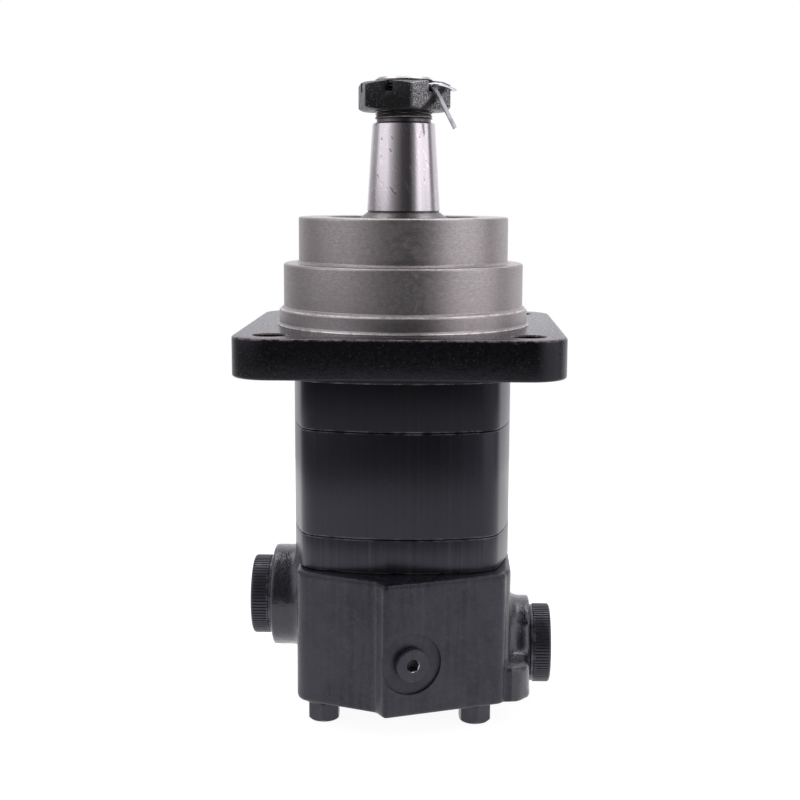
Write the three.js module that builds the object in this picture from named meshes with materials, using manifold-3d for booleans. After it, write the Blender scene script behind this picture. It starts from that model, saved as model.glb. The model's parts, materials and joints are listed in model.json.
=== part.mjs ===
// Orbital hydraulic motor: square mounting flange with a two-step pilot, tapered keyed shaft with a slotted
// nut, roller gear set, disc valve and two side ports closed by threaded plastic plugs.
// Millimetres, +Z along the shaft towards its threaded end, origin under the middle of the tie-bolt heads.
import * as THREE from 'three';
import { mergeVertices } from 'three/addons/utils/BufferGeometryUtils.js';
import Module from 'manifold-3d';

const wasm = await Module();
wasm.setup();

// ---------------------------------------------------------------- driving dimensions

const GAP = 0.3; // clearance kept between neighbouring pieces
const DEGREE = Math.PI / 180;

// Flat sides that stand for a circle on the outside, on pieces inside the motor, and in small holes.
const OUTER_SIDES = 36;
const INNER_SIDES = 20;
const HOLE_SIDES = 12;
const PORT_SIDES = 28;
const ROLLER_SIDES = 14;

// Heights of the main faces along the motor axis.
const LEVEL = {
  boltHeadTop: 8.0,
  valveHousingBottom: 10.9,
  valveHousingTop: 67.9,
  valvePlateTop: 82.6,
  ringTop: 127.6,
  neckBottom: 148.0,
  flangeBottom: 152.0,
  flangeTop: 168.6,
  shoulderTop: 175.6,
  lowerPilotTop: 195.3,
  upperPilotTop: 215.1,
  taperBottom: 218.0,
  taperTop: 254.7,
  nutBottom: 259.8,
  nutTop: 271.9,
  shaftEnd: 274.0,
};

// Square body sections with bowed sides, held together by four long bolts.
const BODY = { halfWidth: 47.3, crownRadius: 110, cornerRadius: 13, neckStep: 1.4 };
const TIE_BOLT = {
  spacing: 65.0,
  shankRadius: 3.97,
  headAcrossFlats: 12.7,
  holeRadius: 4.3,
  end: 144.5,
  padRadius: 9.2,
};
const FACE_SEAL = { radius: 39.7, wire: 0.8, grooveHalfWidth: 1.0, grooveDepth: 1.7 };

const FLANGE = { halfWidth: 67.6, cornerRadius: 15.6, holeRadius: 6.8, boltCircle: 147.6 };
const PILOT = { shoulderRadius: 53.975, lowerRadius: 52.0, upperRadius: 45.4, chamfer: 1.0 };

// Tapered roller bearings: the front one is the smaller.
const FRONT_BEARING = { bore: 19.05, outer: 32.5, bottom: 184.3, top: 202.4 };
const REAR_BEARING = { bore: 22.6, outer: 35.0, bottom: 147.5, top: 166.7 };
const BEARING_ROLLERS = 12;

// Tapered shaft, 1 in 8 on the diameter.
const SHAFT = { journal: 19.05, taperRadius: 15.75, thread: 12.35, relief: 11.6, skirt: 19.3, collar: 27.0 };
const TAPER_HALF_ANGLE = Math.atan(1 / 16);
const NUT = { acrossFlats: 36.5, slotWidth: 3.4, slotDepth: 4.4, cornerAzimuth: -78.5 * DEGREE };
const COTTER = { azimuth: NUT.cornerAzimuth + 30 * DEGREE, height: 269.7, wire: 0.78, holeRadius: 2.0 };
const KEY = { width: 7.9, length: 26.0, middle: 236.0 };

// Roller gear set: the star has one lobe fewer than the ring has rollers.
const GEAR = { rollers: 7, rollerCircle: 29.5, rollerRadius: 6.1, eccentricity: 2.6, boreRadius: 29.2 };

// Splines of the two drive links and of the pieces that they drive.
const SPLINE = { teeth: 12, linkRoot: 10.1, linkTip: 11.9, socketTip: 10.9, socketRoot: 12.9 };
const MAIN_LINK = { upper: 149.0, lower: 106.0, toothLength: 20.0, neck: 9.0 };
const VALVE_LINK = { upper: 88.6, lower: 58.0, toothLength: 9.6, neck: 8.6 };

// Valve housing and what it holds.
const CHAMBER = { radius: 33.0, floor: 41.5, skirtRadius: 24.7, skirtFloor: 34.5, passageRadius: 10.0 };
const ROTARY_VALVE = { radius: 29.5, bottom: 50.2, windowCircle: 21.5, windowRadius: 2.3, notchDepth: 7.0 };
const BALANCE_RING = { top: 49.9, shelf: 44.5, bottom: 36.0, flange: 30.5, skirt: 24.2, bore: 12.0 };
const SPRING = { circle: 28.6, coilRadius: 2.0, wire: 0.45, turns: 4, pocketRadius: 2.9, pocketFloor: 36.5 };
const LEFT_PORT = { height: 45.4, bossRadius: 22.5, passageRadius: 8.0, passageEnd: 30.0 };
const FOOT_TOP = 26.0;
const RIGHT_PORT = { height: 24.1, bossRadius: 21.3, passageRadius: 7.0, passageEnd: 0.0 };
const PORT = { face: 57.3, threadRadius: 11.1, threadEnd: 43.0 };
const PORT_PLUG = { headRadius: 17.5, outerEnd: 66.5, stemRadius: 10.7, stemEnd: 45.0 };
const FRONT_FACET_ANGLE = 21 * DEGREE;
const DRAIN = {
  x: 5.9,
  y: -58.86,
  z: 33.2,
  spotRadius: 12.9,
  spotDepth: 1.5,
  threadRadius: 4.9,
  threadDepth: 12.0,
  bleedRadius: 3.0,
  bleedDepth: 36.0,
};
const DRAIN_PLUG = { headRadius: 7.0, headHeight: 3.1, stemRadius: 4.5, stemLength: 10.0, socketFlats: 4.8 };

// ---------------------------------------------------------------- materials

const paint = (color) => new THREE.MeshStandardMaterial({ color, roughness: 0.45, metalness: 0.3 });
const steel = (color, roughness = 0.3) =>
  new THREE.MeshStandardMaterial({ color, roughness, metalness: 1.0 });
const rubber = (color) => new THREE.MeshStandardMaterial({ color, roughness: 0.85, metalness: 0.0 });

const blackPaint = () => paint(0x1d1c1f);
const castPaint = () => paint(0x26262a);
const turnedSteel = () => steel(0x8c8686, 0.42);
const groundSteel = () => steel(0xb4aeb0, 0.22);
const hardSteel = () => steel(0x77777b, 0.28);
const darkSteel = () => steel(0x2a292c, 0.5);
const brightZinc = () => steel(0xc9cbd0, 0.25);
const blackRubber = () => rubber(0x141414);
const blackPlastic = () => rubber(0x232226);

// ---------------------------------------------------------------- geometry helpers

const motor = new THREE.Group();

function addMesh(name, geometry, material, parent = motor) {
  const mesh = new THREE.Mesh(geometry, material);
  mesh.name = name;
  parent.add(mesh);
  return mesh;
}

// Turns a closed geometry into a solid that can be joined and cut. Triangles that collapse on a
// lathe's axis are dropped, and the faces are turned out if the outline was drawn the other way round.
function solid(geometry) {
  const bare = geometry.clone();
  bare.deleteAttribute('normal');
  bare.deleteAttribute('uv');
  const merged = mergeVertices(bare, 1e-4);
  const position = merged.attributes.position;
  const corner = (i) => new THREE.Vector3().fromBufferAttribute(position, i);
  const triangles = [];
  let volume = 0;
  for (let i = 0; i < merged.index.count; i += 3) {
    const [a, b, c] = [0, 1, 2].map((k) => merged.index.getX(i + k));
    if (a === b || b === c || c === a) continue;
    triangles.push([a, b, c]);
    volume += corner(a).dot(corner(b).cross(corner(c)));
  }
  const ordered = volume > 0 ? triangles : triangles.map(([a, b, c]) => [a, c, b]);
  return new wasm.Manifold(new wasm.Mesh({
    numProp: 3,
    vertProperties: Float32Array.from(position.array),
    triVerts: Uint32Array.from(ordered.flat()),
  }));
}

function geometryOf(manifold) {
  const { vertProperties, triVerts } = manifold.getMesh();
  const geometry = new THREE.BufferGeometry();
  geometry.setAttribute('position', new THREE.BufferAttribute(new Float32Array(vertProperties), 3));
  geometry.setIndex(new THREE.BufferAttribute(new Uint32Array(triVerts), 1));
  geometry.computeVertexNormals();
  return geometry;
}

// First geometry minus all the others.
function cut(first, ...others) {
  const body = others.reduce((result, other) => result.subtract(solid(other)), solid(first));
  return geometryOf(body);
}

function join(...parts) {
  return geometryOf(parts.map(solid).reduce((result, part) => result.add(part)));
}

// Solid of revolution about Z from a closed outline of [radius, height] points.
function turned(outline, sides = INNER_SIDES) {
  const points = outline.map(([radius, height]) => new THREE.Vector2(radius, height));
  points.push(points[0].clone());
  return geometryOf(solid(new THREE.LatheGeometry(points, sides).rotateX(Math.PI / 2)));
}

function rod(radius, bottom, top, sides = INNER_SIDES) {
  const height = top - bottom;
  return new THREE.CylinderGeometry(radius, radius, height, sides)
    .rotateX(Math.PI / 2)
    .translate(0, 0, bottom + height / 2);
}

// Rod along X, used for the two ports.
function crossRod(radius, from, to, height, sides = PORT_SIDES) {
  return rod(radius, Math.min(from, to), Math.max(from, to), sides)
    .rotateY(Math.PI / 2)
    .translate(0, 0, height);
}

function prism(shape, bottom, top, curveSegments = 2) {
  const depth = top - bottom;
  const settings = { depth, bevelEnabled: false, curveSegments };
  return new THREE.ExtrudeGeometry(shape, settings).translate(0, 0, bottom);
}

function box(width, depth, height, x, y, z) {
  return new THREE.BoxGeometry(width, depth, height).translate(x, y, z);
}

// Torus about Z for a ring seal.
function sealRing(radius, wire, height) {
  return new THREE.TorusGeometry(radius, wire, 4, INNER_SIDES).translate(0, 0, height);
}

const polar = (radius, angle) => [radius * Math.cos(angle), radius * Math.sin(angle)];

// Closed outline through [x, y, corner radius] points, taken anticlockwise.
function roundedPolygon(corners) {
  const shape = new THREE.Shape();
  corners.forEach(([x, y, radius], i) => {
    const corner = new THREE.Vector2(x, y);
    const before = new THREE.Vector2(...corners.at(i - 1)).sub(corner).normalize();
    const after = new THREE.Vector2(...corners[(i + 1) % corners.length]).sub(corner).normalize();
    const halfAngle = before.angleTo(after) / 2;
    const centre = before.clone().add(after).setLength(radius / Math.sin(halfAngle)).add(corner);
    const start = before.clone().multiplyScalar(radius / Math.tan(halfAngle)).add(corner).sub(centre);
    const end = after.clone().multiplyScalar(radius / Math.tan(halfAngle)).add(corner).sub(centre);
    const clockwise = before.cross(after) > 0;
    shape.absarc(centre.x, centre.y, radius, start.angle(), end.angle(), clockwise);
  });
  return shape;
}

function roundedSquare(halfWidth, cornerRadius) {
  const corners = [[-1, -1], [1, -1], [1, 1], [-1, 1]];
  return roundedPolygon(corners.map(([x, y]) => [x * halfWidth, y * halfWidth, cornerRadius]));
}

// Square with slightly bowed sides: four crown arcs with a tangent arc at each corner.
function bodyOutline(grow = 0) {
  const shape = new THREE.Shape();
  const setBack = BODY.crownRadius - BODY.halfWidth;
  const reach = BODY.crownRadius - BODY.cornerRadius;
  const cornerCentre = (Math.sqrt(2 * reach ** 2 - setBack ** 2) - setBack) / 2;
  const tangent = Math.atan2(cornerCentre, cornerCentre + setBack);
  for (let side = 0; side < 4; side += 1) {
    const turn = side * 90 * DEGREE;
    const crown = polar(-setBack, turn);
    const corner = polar(cornerCentre * Math.SQRT2, turn + 45 * DEGREE);
    shape.absarc(...crown, BODY.crownRadius + grow, turn - tangent, turn + tangent);
    shape.absarc(...corner, BODY.cornerRadius + grow, turn + tangent, turn + 90 * DEGREE - tangent);
  }
  return shape;
}

function circlePath(x, y, radius, sides = HOLE_SIDES) {
  const points = [];
  for (let i = 0; i < sides; i += 1) {
    const [dx, dy] = polar(radius, (i * 2 * Math.PI) / sides);
    points.push(new THREE.Vector2(x + dx, y + dy));
  }
  return new THREE.Path(points);
}

const boltPlaces = [[-1, -1], [1, -1], [1, 1], [-1, 1]].map(([x, y]) => [
  (x * TIE_BOLT.spacing) / 2,
  (y * TIE_BOLT.spacing) / 2,
]);

const boltHoles = () => boltPlaces.map(([x, y]) => circlePath(x, y, TIE_BOLT.holeRadius));

// Groove for a face seal, opening at the given height; direction is +1 for a groove that opens upwards.
function sealGroove(height, direction) {
  const inner = FACE_SEAL.radius - FACE_SEAL.grooveHalfWidth;
  const outer = FACE_SEAL.radius + FACE_SEAL.grooveHalfWidth;
  const floor = height - direction * FACE_SEAL.grooveDepth;
  const mouth = height + direction;
  return turned([[inner, floor], [outer, floor], [outer, mouth], [inner, mouth]]);
}

const sealInGroove = (height, direction) =>
  sealRing(FACE_SEAL.radius, FACE_SEAL.wire, height - direction * (FACE_SEAL.wire + GAP / 3));

// Straight-sided spline. Share is the part of a pitch that a tooth, or a socket's slot, takes at each radius.
function splineOutline(inner, outer, innerShare, outerShare) {
  const pitch = (2 * Math.PI) / SPLINE.teeth;
  const points = [];
  for (let tooth = 0; tooth < SPLINE.teeth; tooth += 1) {
    const middle = tooth * pitch;
    points.push(polar(inner, middle - (pitch * innerShare) / 2));
    points.push(polar(outer, middle - (pitch * outerShare) / 2));
    points.push(polar(outer, middle + (pitch * outerShare) / 2));
    points.push(polar(inner, middle + (pitch * innerShare) / 2));
  }
  return points.map(([x, y]) => new THREE.Vector2(x, y));
}

const linkSpline = () => new THREE.Shape(splineOutline(SPLINE.linkRoot, SPLINE.linkTip, 0.5, 0.31));
const socketSpline = () => splineOutline(SPLINE.socketTip, SPLINE.socketRoot, 0.7, 0.47);

// Barrel-shaped male spline, so that a tilted link can rock in its socket.
function crownedSpline(middle, length) {
  const options = { depth: length, bevelEnabled: false, steps: 2 };
  const geometry = new THREE.ExtrudeGeometry(linkSpline(), options).translate(0, 0, -length / 2);
  const position = geometry.attributes.position;
  const crown = 0.05;
  for (let i = 0; i < position.count; i += 1) {
    const share = position.getZ(i) / (length / 2);
    const scale = 1 - crown * share ** 2;
    position.setXY(i, position.getX(i) * scale, position.getY(i) * scale);
  }
  return geometry.translate(0, 0, middle);
}

// Flat open ring that springs into a groove.
function openRing(inner, outer, bottom, top, opening) {
  const shape = new THREE.Shape();
  shape.absarc(0, 0, outer, opening / 2, 2 * Math.PI - opening / 2);
  shape.absarc(0, 0, inner, 2 * Math.PI - opening / 2, opening / 2, true);
  return prism(shape, bottom, top, INNER_SIDES / 2);
}

function hexagon(acrossFlats, cornerAzimuth = 0) {
  const cornerRadius = acrossFlats / Math.sqrt(3);
  const corners = [0, 1, 2, 3, 4, 5].map((i) => polar(cornerRadius, cornerAzimuth + i * 60 * DEGREE));
  return new THREE.Shape(corners.map(([x, y]) => new THREE.Vector2(x, y)));
}

// ---------------------------------------------------------------- body sections

// Bearing housing: body section, square flange and two-step pilot in one casting.
function bearingHousing() {
  const bottom = LEVEL.ringTop + GAP;
  const lower = prism(bodyOutline(), bottom, LEVEL.neckBottom + 1);
  const neck = prism(bodyOutline(BODY.neckStep), LEVEL.neckBottom, LEVEL.flangeBottom + 1);
  const flangePlan = roundedSquare(FLANGE.halfWidth, FLANGE.cornerRadius);
  const flange = prism(flangePlan, LEVEL.flangeBottom, LEVEL.flangeTop);
  const edge = PILOT.chamfer;
  const pilot = turned([
    [0, LEVEL.flangeBottom + 2],
    [PILOT.shoulderRadius, LEVEL.flangeBottom + 2],
    [PILOT.shoulderRadius, LEVEL.shoulderTop],
    [PILOT.lowerRadius, LEVEL.shoulderTop + 1.6],
    [PILOT.lowerRadius, LEVEL.lowerPilotTop - edge],
    [PILOT.lowerRadius - edge, LEVEL.lowerPilotTop],
    [PILOT.upperRadius, LEVEL.lowerPilotTop],
    [PILOT.upperRadius, LEVEL.upperPilotTop - edge],
    [PILOT.upperRadius - edge, LEVEL.upperPilotTop],
    [0, LEVEL.upperPilotTop],
  ], OUTER_SIDES);
  const wearPocket = 37.5;
  const rearBore = REAR_BEARING.outer + GAP;
  const frontBore = FRONT_BEARING.outer + GAP;
  const bore = turned([
    [0, bottom - 1],
    [wearPocket, bottom - 1],
    [wearPocket, 134.2],
    [rearBore, 134.2],
    [rearBore, REAR_BEARING.top + GAP],
    [30.0, REAR_BEARING.top + GAP],
    [30.0, FRONT_BEARING.bottom - GAP],
    [frontBore, FRONT_BEARING.bottom - GAP],
    [frontBore, 211.2],
    [frontBore + 1.8, 211.2],
    [frontBore + 1.8, 212.8],
    [frontBore, 212.8],
    [frontBore, LEVEL.upperPilotTop + 1],
    [0, LEVEL.upperPilotTop + 1],
  ]);
  const threads = boltPlaces.map(([x, y]) =>
    rod(TIE_BOLT.holeRadius, bottom - 1, TIE_BOLT.end + 2, HOLE_SIDES).translate(x, y, 0));
  const reach = FLANGE.boltCircle / 2 / Math.SQRT2;
  const flangeHoles = [[-1, -1], [1, -1], [1, 1], [-1, 1]].map(([x, y]) =>
    rod(FLANGE.holeRadius, LEVEL.flangeBottom - 1, LEVEL.flangeTop + 1, HOLE_SIDES)
      .translate(x * reach, y * reach, 0));
  const casting = join(lower, neck, flange, pilot);
  return cut(casting, bore, sealGroove(bottom, -1), ...threads, ...flangeHoles);
}

// Hardened disc between the bearing housing and the gear set.
function wearPlate() {
  const bottom = LEVEL.ringTop + GAP;
  return turned([[17.0, bottom], [37.2, bottom], [37.2, 133.2], [36.5, 133.9], [17.0, 133.9]]);
}

// Outer ring of the gear set: seven half-round pockets that hold the rollers.
function gearRing() {
  const shape = bodyOutline();
  const pocket = GEAR.rollerRadius + GAP + 0.1;
  const bore = GEAR.boreRadius;
  const circle = GEAR.rollerCircle;
  const halfMouth = Math.acos((bore ** 2 + circle ** 2 - pocket ** 2) / (2 * bore * circle));
  const pitch = (2 * Math.PI) / GEAR.rollers;
  const inner = new THREE.Path();
  for (let roller = 0; roller < GEAR.rollers; roller += 1) {
    const middle = roller * pitch;
    const [x, y] = polar(circle, middle);
    const [startX, startY] = polar(bore, middle - halfMouth);
    const start = Math.atan2(startY - y, startX - x);
    const end = 2 * middle - start;
    inner.absarc(x, y, pocket, start, end);
    inner.absarc(0, 0, bore, middle + halfMouth, middle + pitch - halfMouth);
  }
  shape.holes.push(inner, ...boltHoles());
  return prism(shape, LEVEL.valvePlateTop + GAP, LEVEL.ringTop, 3);
}

// Plate with one slanting passage to each chamber of the gear set.
function valvePlate() {
  const bottom = LEVEL.valveHousingTop + GAP;
  const shape = bodyOutline();
  const slotHalfWidth = 2.4;
  const pitch = (2 * Math.PI) / GEAR.rollers;
  for (let i = 0; i < GEAR.rollers; i += 1) {
    const angle = (i + 0.5) * pitch;
    const slot = new THREE.Path();
    slot.absarc(...polar(26.5, angle), slotHalfWidth, angle - 90 * DEGREE, angle + 90 * DEGREE);
    slot.absarc(...polar(21.5, angle), slotHalfWidth, angle + 90 * DEGREE, angle + 270 * DEGREE);
    shape.holes.push(slot);
  }
  shape.holes.push(circlePath(0, 0, 13.4, INNER_SIDES), ...boltHoles());
  return cut(prism(shape, bottom, LEVEL.valvePlateTop), sealGroove(LEVEL.valvePlateTop, 1));
}

// Places a piece that was drawn along Z, outwards, on the drain port of the front facet.
function onDrainPort(geometry) {
  return geometry.rotateX(90 * DEGREE).rotateZ(FRONT_FACET_ANGLE).translate(DRAIN.x, DRAIN.y, DRAIN.z);
}

function portPassage(port, from, to) {
  return crossRod(port.passageRadius, from, to, port.height, HOLE_SIDES);
}

// Cast valve housing: ridged front with two facets, a round boss on each side and a plain back.
function valveHousing() {
  const { valveHousingBottom: bottom, valveHousingTop: top } = LEVEL;
  const left = -43.6;
  const right = BODY.halfWidth;
  const footFace = PORT.face - 1;
  const plan = roundedPolygon([
    [left, -41.5, 8],
    [10.0, -46.0, 1],
    [right, -46.0, 13],
    [right, 46.5, 13],
    [left, 46.5, 13],
  ]);
  const ridgePlan = roundedPolygon([
    [left, -42.7, 8],
    [-9.3, -56.7, 2],
    [-5.4, -63.3, 1.5],
    [45.0, -43.5, 4],
    [42.0, -10.0, 1],
    [-40.0, -10.0, 1],
  ]);
  const footPlan = roundedPolygon([
    [43.5, -43.8, 1],
    [footFace, -37.0, 11],
    [footFace, 25.0, 9],
    [40.0, 42.0, 3],
  ]);
  const casting = join(
    prism(plan, bottom, top),
    prism(ridgePlan, bottom, top),
    prism(footPlan, bottom, FOOT_TOP),
    crossRod(LEFT_PORT.bossRadius, -PORT.face, -20, LEFT_PORT.height),
    solidAbove(crossRod(RIGHT_PORT.bossRadius, 20, PORT.face, RIGHT_PORT.height), bottom),
    ...boltPlaces.map(([x, y]) =>
      rod(TIE_BOLT.padRadius, LEVEL.boltHeadTop + GAP, bottom + 1, HOLE_SIDES).translate(x, y, 0)),
  );
  const chamber = turned([
    [0, CHAMBER.skirtFloor],
    [CHAMBER.skirtRadius, CHAMBER.skirtFloor],
    [CHAMBER.skirtRadius, CHAMBER.floor],
    [CHAMBER.radius, CHAMBER.floor],
    [CHAMBER.radius, top + 1],
    [0, top + 1],
  ]);
  const ports = [
    crossRod(PORT.threadRadius, -PORT.face - 1, -PORT.threadEnd, LEFT_PORT.height),
    portPassage(LEFT_PORT, -PORT.threadEnd - 1, -LEFT_PORT.passageEnd),
    crossRod(PORT.threadRadius, PORT.threadEnd, PORT.face + 1, RIGHT_PORT.height),
    portPassage(RIGHT_PORT, RIGHT_PORT.passageEnd, PORT.threadEnd + 1),
    rod(CHAMBER.passageRadius, RIGHT_PORT.height, CHAMBER.skirtFloor + 1, HOLE_SIDES),
  ];
  const drain = [
    rod(DRAIN.spotRadius, -DRAIN.spotDepth, 6, PORT_SIDES),
    rod(DRAIN.threadRadius, -DRAIN.threadDepth, 0, HOLE_SIDES),
    rod(DRAIN.bleedRadius, -DRAIN.bleedDepth, 1 - DRAIN.threadDepth, HOLE_SIDES),
  ].map(onDrainPort);
  const springPockets = [45, 225].map((angle) =>
    rod(SPRING.pocketRadius, SPRING.pocketFloor, CHAMBER.floor + 1, HOLE_SIDES)
      .translate(...polar(SPRING.circle, angle * DEGREE), 0));
  const holes = boltPlaces.map(([x, y]) =>
    rod(TIE_BOLT.holeRadius, 0, top + 1, HOLE_SIDES).translate(x, y, 0));
  return cut(casting, chamber, sealGroove(top, 1), ...ports, ...drain, ...springPockets, ...holes);
}

// What is left of a geometry above a height.
function solidAbove(geometry, height) {
  const size = 400;
  return cut(geometry, box(size, size, size, 0, 0, height - size / 2));
}

addMesh('bearing_housing', bearingHousing(), blackPaint());
addMesh('wear_plate', wearPlate(), hardSteel());
addMesh('geroler_ring', gearRing(), blackPaint());
addMesh('valve_plate', valvePlate(), blackPaint());
addMesh('valve_housing', valveHousing(), castPaint());

addMesh('housing_face_seal', sealInGroove(LEVEL.ringTop + GAP, -1), blackRubber());
addMesh('ring_face_seal', sealInGroove(LEVEL.valvePlateTop, 1), blackRubber());
addMesh('valve_face_seal', sealInGroove(LEVEL.valveHousingTop, 1), blackRubber());

// ---------------------------------------------------------------- tie bolts

function tieBolt() {
  const crownTop = LEVEL.boltHeadTop + 1;
  const crown = turned([[0, 0], [5.9, 0], [7.6, 1.0], [7.6, crownTop], [0, crownTop]]);
  const flats = prism(hexagon(TIE_BOLT.headAcrossFlats, 30 * DEGREE), 0, LEVEL.boltHeadTop);
  const head = solid(flats).intersect(solid(crown));
  const shank = solid(rod(TIE_BOLT.shankRadius, LEVEL.boltHeadTop - 1, TIE_BOLT.end, HOLE_SIDES));
  return geometryOf(head.add(shank));
}

boltPlaces.forEach(([x, y], i) => {
  addMesh(`tie_bolt_${i + 1}`, tieBolt(), blackPaint()).position.set(x, y, 0);
});

// ---------------------------------------------------------------- port and drain plugs

// Threaded plastic plug with a round head, drawn along +X on the motor axis.
function portPlug() {
  const seat = PORT.face + GAP;
  const profile = [
    [0, PORT_PLUG.stemEnd],
    [PORT_PLUG.stemRadius, PORT_PLUG.stemEnd],
    [PORT_PLUG.stemRadius, seat],
    [PORT_PLUG.headRadius, seat],
    [PORT_PLUG.headRadius, PORT_PLUG.outerEnd - 1],
    [PORT_PLUG.headRadius - 1, PORT_PLUG.outerEnd],
    [13.2, PORT_PLUG.outerEnd],
    [13.2, PORT_PLUG.outerEnd - 1.5],
    [0, PORT_PLUG.outerEnd - 1.5],
  ];
  return turned(profile).rotateY(90 * DEGREE);
}

addMesh('right_port_plug', portPlug(), blackPlastic()).position.z = RIGHT_PORT.height;
const leftPlug = addMesh('left_port_plug', portPlug(), blackPlastic());
leftPlug.position.z = LEFT_PORT.height;
leftPlug.rotation.z = Math.PI;

// Drain plug with a hexagon socket, seated on the spot face over a small ring seal.
function drainPlug() {
  const seat = GAP - DRAIN.spotDepth;
  const top = seat + DRAIN_PLUG.headHeight;
  const groove = 1.0;
  const outline = [
    [0, seat - DRAIN_PLUG.stemLength],
    [DRAIN_PLUG.stemRadius, seat - DRAIN_PLUG.stemLength],
    [DRAIN_PLUG.stemRadius, seat - 2.4],
    [DRAIN_PLUG.stemRadius - groove, seat - 2.4],
    [DRAIN_PLUG.stemRadius - groove, seat],
    [DRAIN_PLUG.headRadius, seat],
    [DRAIN_PLUG.headRadius, top - 0.6],
    [DRAIN_PLUG.headRadius - 0.6, top],
    [0, top],
  ];
  return cut(turned(outline), prism(hexagon(DRAIN_PLUG.socketFlats), top - 4.2, top + 1));
}

addMesh('drain_plug', onDrainPort(drainPlug()), darkSteel());
const drainSeal = sealRing(DRAIN_PLUG.stemRadius - 0.35, 0.5, GAP - DRAIN.spotDepth - 1.4);
addMesh('drain_plug_seal', onDrainPort(drainSeal), blackRubber());

// ---------------------------------------------------------------- shaft and bearings

function outputShaft() {
  const taperLength = LEVEL.taperTop - LEVEL.taperBottom;
  const taperTopRadius = SHAFT.taperRadius - taperLength * Math.tan(TAPER_HALF_ANGLE);
  const seatBottom = REAR_BEARING.bottom - GAP;
  const blank = turned([
    [0, 134.5],
    [SHAFT.skirt, 134.5],
    [SHAFT.skirt, 143.8],
    [SHAFT.collar, 143.8],
    [SHAFT.collar, seatBottom],
    [REAR_BEARING.bore, seatBottom],
    [REAR_BEARING.bore, 167.4],
    [21.6, 168.4],
    [21.6, FRONT_BEARING.bottom - 0.8],
    [SHAFT.journal, FRONT_BEARING.bottom - 0.6],
    [SHAFT.journal, 202.7],
    [17.8, 202.7],
    [17.8, 204.3],
    [SHAFT.journal, 204.3],
    [SHAFT.journal, 214.9],
    [18.2, 215.5],
    [16.7, 216.3],
    [SHAFT.taperRadius, LEVEL.taperBottom],
    [taperTopRadius, LEVEL.taperTop],
    [SHAFT.relief, LEVEL.taperTop + 0.4],
    [SHAFT.relief, LEVEL.taperTop + 2.2],
    [SHAFT.thread, LEVEL.taperTop + 2.8],
    [SHAFT.thread, LEVEL.shaftEnd - 1.2],
    [SHAFT.thread - 1.2, LEVEL.shaftEnd],
    [0, LEVEL.shaftEnd],
  ]);
  const splineBore = prism(new THREE.Shape(socketSpline()), 133, 160.2);
  const boreEnd = rod(12.2, 160.0, 164.3);
  const centreDrill = turned([[0, 270.5], [1.6, 271.3], [3.0, 275.0], [0, 275.0]], HOLE_SIDES);
  const cotterHole = rod(COTTER.holeRadius, -20, 20, HOLE_SIDES)
    .rotateY(90 * DEGREE)
    .rotateZ(COTTER.azimuth)
    .translate(0, 0, COTTER.height);
  return cut(blank, splineBore, boreEnd, centreDrill, cotterHole, onKeySeat(keyBlock(GAP)));
}

// Parallel key on the far side of the taper, half sunk in the shaft and parallel to the taper's surface.
function keyBlock(grow = 0) {
  const width = KEY.width + 2 * grow;
  return new THREE.BoxGeometry(width, width, KEY.length + 2 * grow);
}

function onKeySeat(geometry) {
  const surface = SHAFT.taperRadius - (KEY.middle - LEVEL.taperBottom) * Math.tan(TAPER_HALF_ANGLE);
  return geometry.rotateX(TAPER_HALF_ANGLE).translate(0, surface, KEY.middle);
}

// Slotted hexagon nut: both ends are chamfered, and one slot lies over the middle of each flat.
function shaftNut() {
  const { nutBottom: bottom, nutTop: top } = LEVEL;
  const cornerRadius = NUT.acrossFlats / Math.sqrt(3);
  const chamfer = 1.5;
  const envelope = turned([
    [SHAFT.thread + GAP, bottom],
    [NUT.acrossFlats / 2, bottom],
    [cornerRadius + 0.1, bottom + chamfer],
    [cornerRadius + 0.1, top - chamfer],
    [NUT.acrossFlats / 2, top],
    [SHAFT.thread + GAP, top],
  ], OUTER_SIDES);
  const flats = prism(hexagon(NUT.acrossFlats, NUT.cornerAzimuth), bottom - 1, top + 1);
  const slots = [0, 1, 2].map((i) =>
    box(60, NUT.slotWidth, 2 * NUT.slotDepth, 0, 0, top).rotateZ(COTTER.azimuth + i * 60 * DEGREE));
  return cut(geometryOf(solid(envelope).intersect(solid(flats))), ...slots);
}

// Split pin through the nut and shaft: one leg is bent along the nut's flat and one hangs down past it.
function cotterPin() {
  const out = new THREE.Vector3(...polar(1, COTTER.azimuth), 0);
  const along = new THREE.Vector3(...polar(1, COTTER.azimuth + 90 * DEGREE), 0);
  const spread = COTTER.wire * 0.9;
  const at = (outward, sideways, rise) =>
    out.clone().multiplyScalar(outward).addScaledVector(along, sideways).setZ(COTTER.height + rise);
  const flatLeg = [at(-20.5, 0, spread), at(0, 0, spread), at(17.7, 0, spread), at(20.0, 1.2, spread),
    at(20.8, 4.2, spread - 0.4), at(20.8, 10.8, -1.6)];
  const hangingLeg = [at(-20.5, 0, -spread), at(0, 0, -spread), at(17.7, 0, -spread), at(20.2, 0.6, -1.6),
    at(21.6, 3.0, -7), at(24.2, 8.0, -17.5)];
  const section = new THREE.Shape().absarc(0, 0, COTTER.wire, 0, 2 * Math.PI);
  const legs = [flatLeg, hangingLeg].map((points) => new THREE.ExtrudeGeometry(section, {
    steps: 11,
    curveSegments: 3,
    extrudePath: new THREE.CatmullRomCurve3(points),
  }));
  const eye = new THREE.TorusGeometry(1.9, COTTER.wire, 5, 10)
    .rotateX(90 * DEGREE)
    .rotateZ(COTTER.azimuth)
    .translate(...at(-22.0, 0, 0).toArray());
  return join(eye, ...legs);
}

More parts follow.
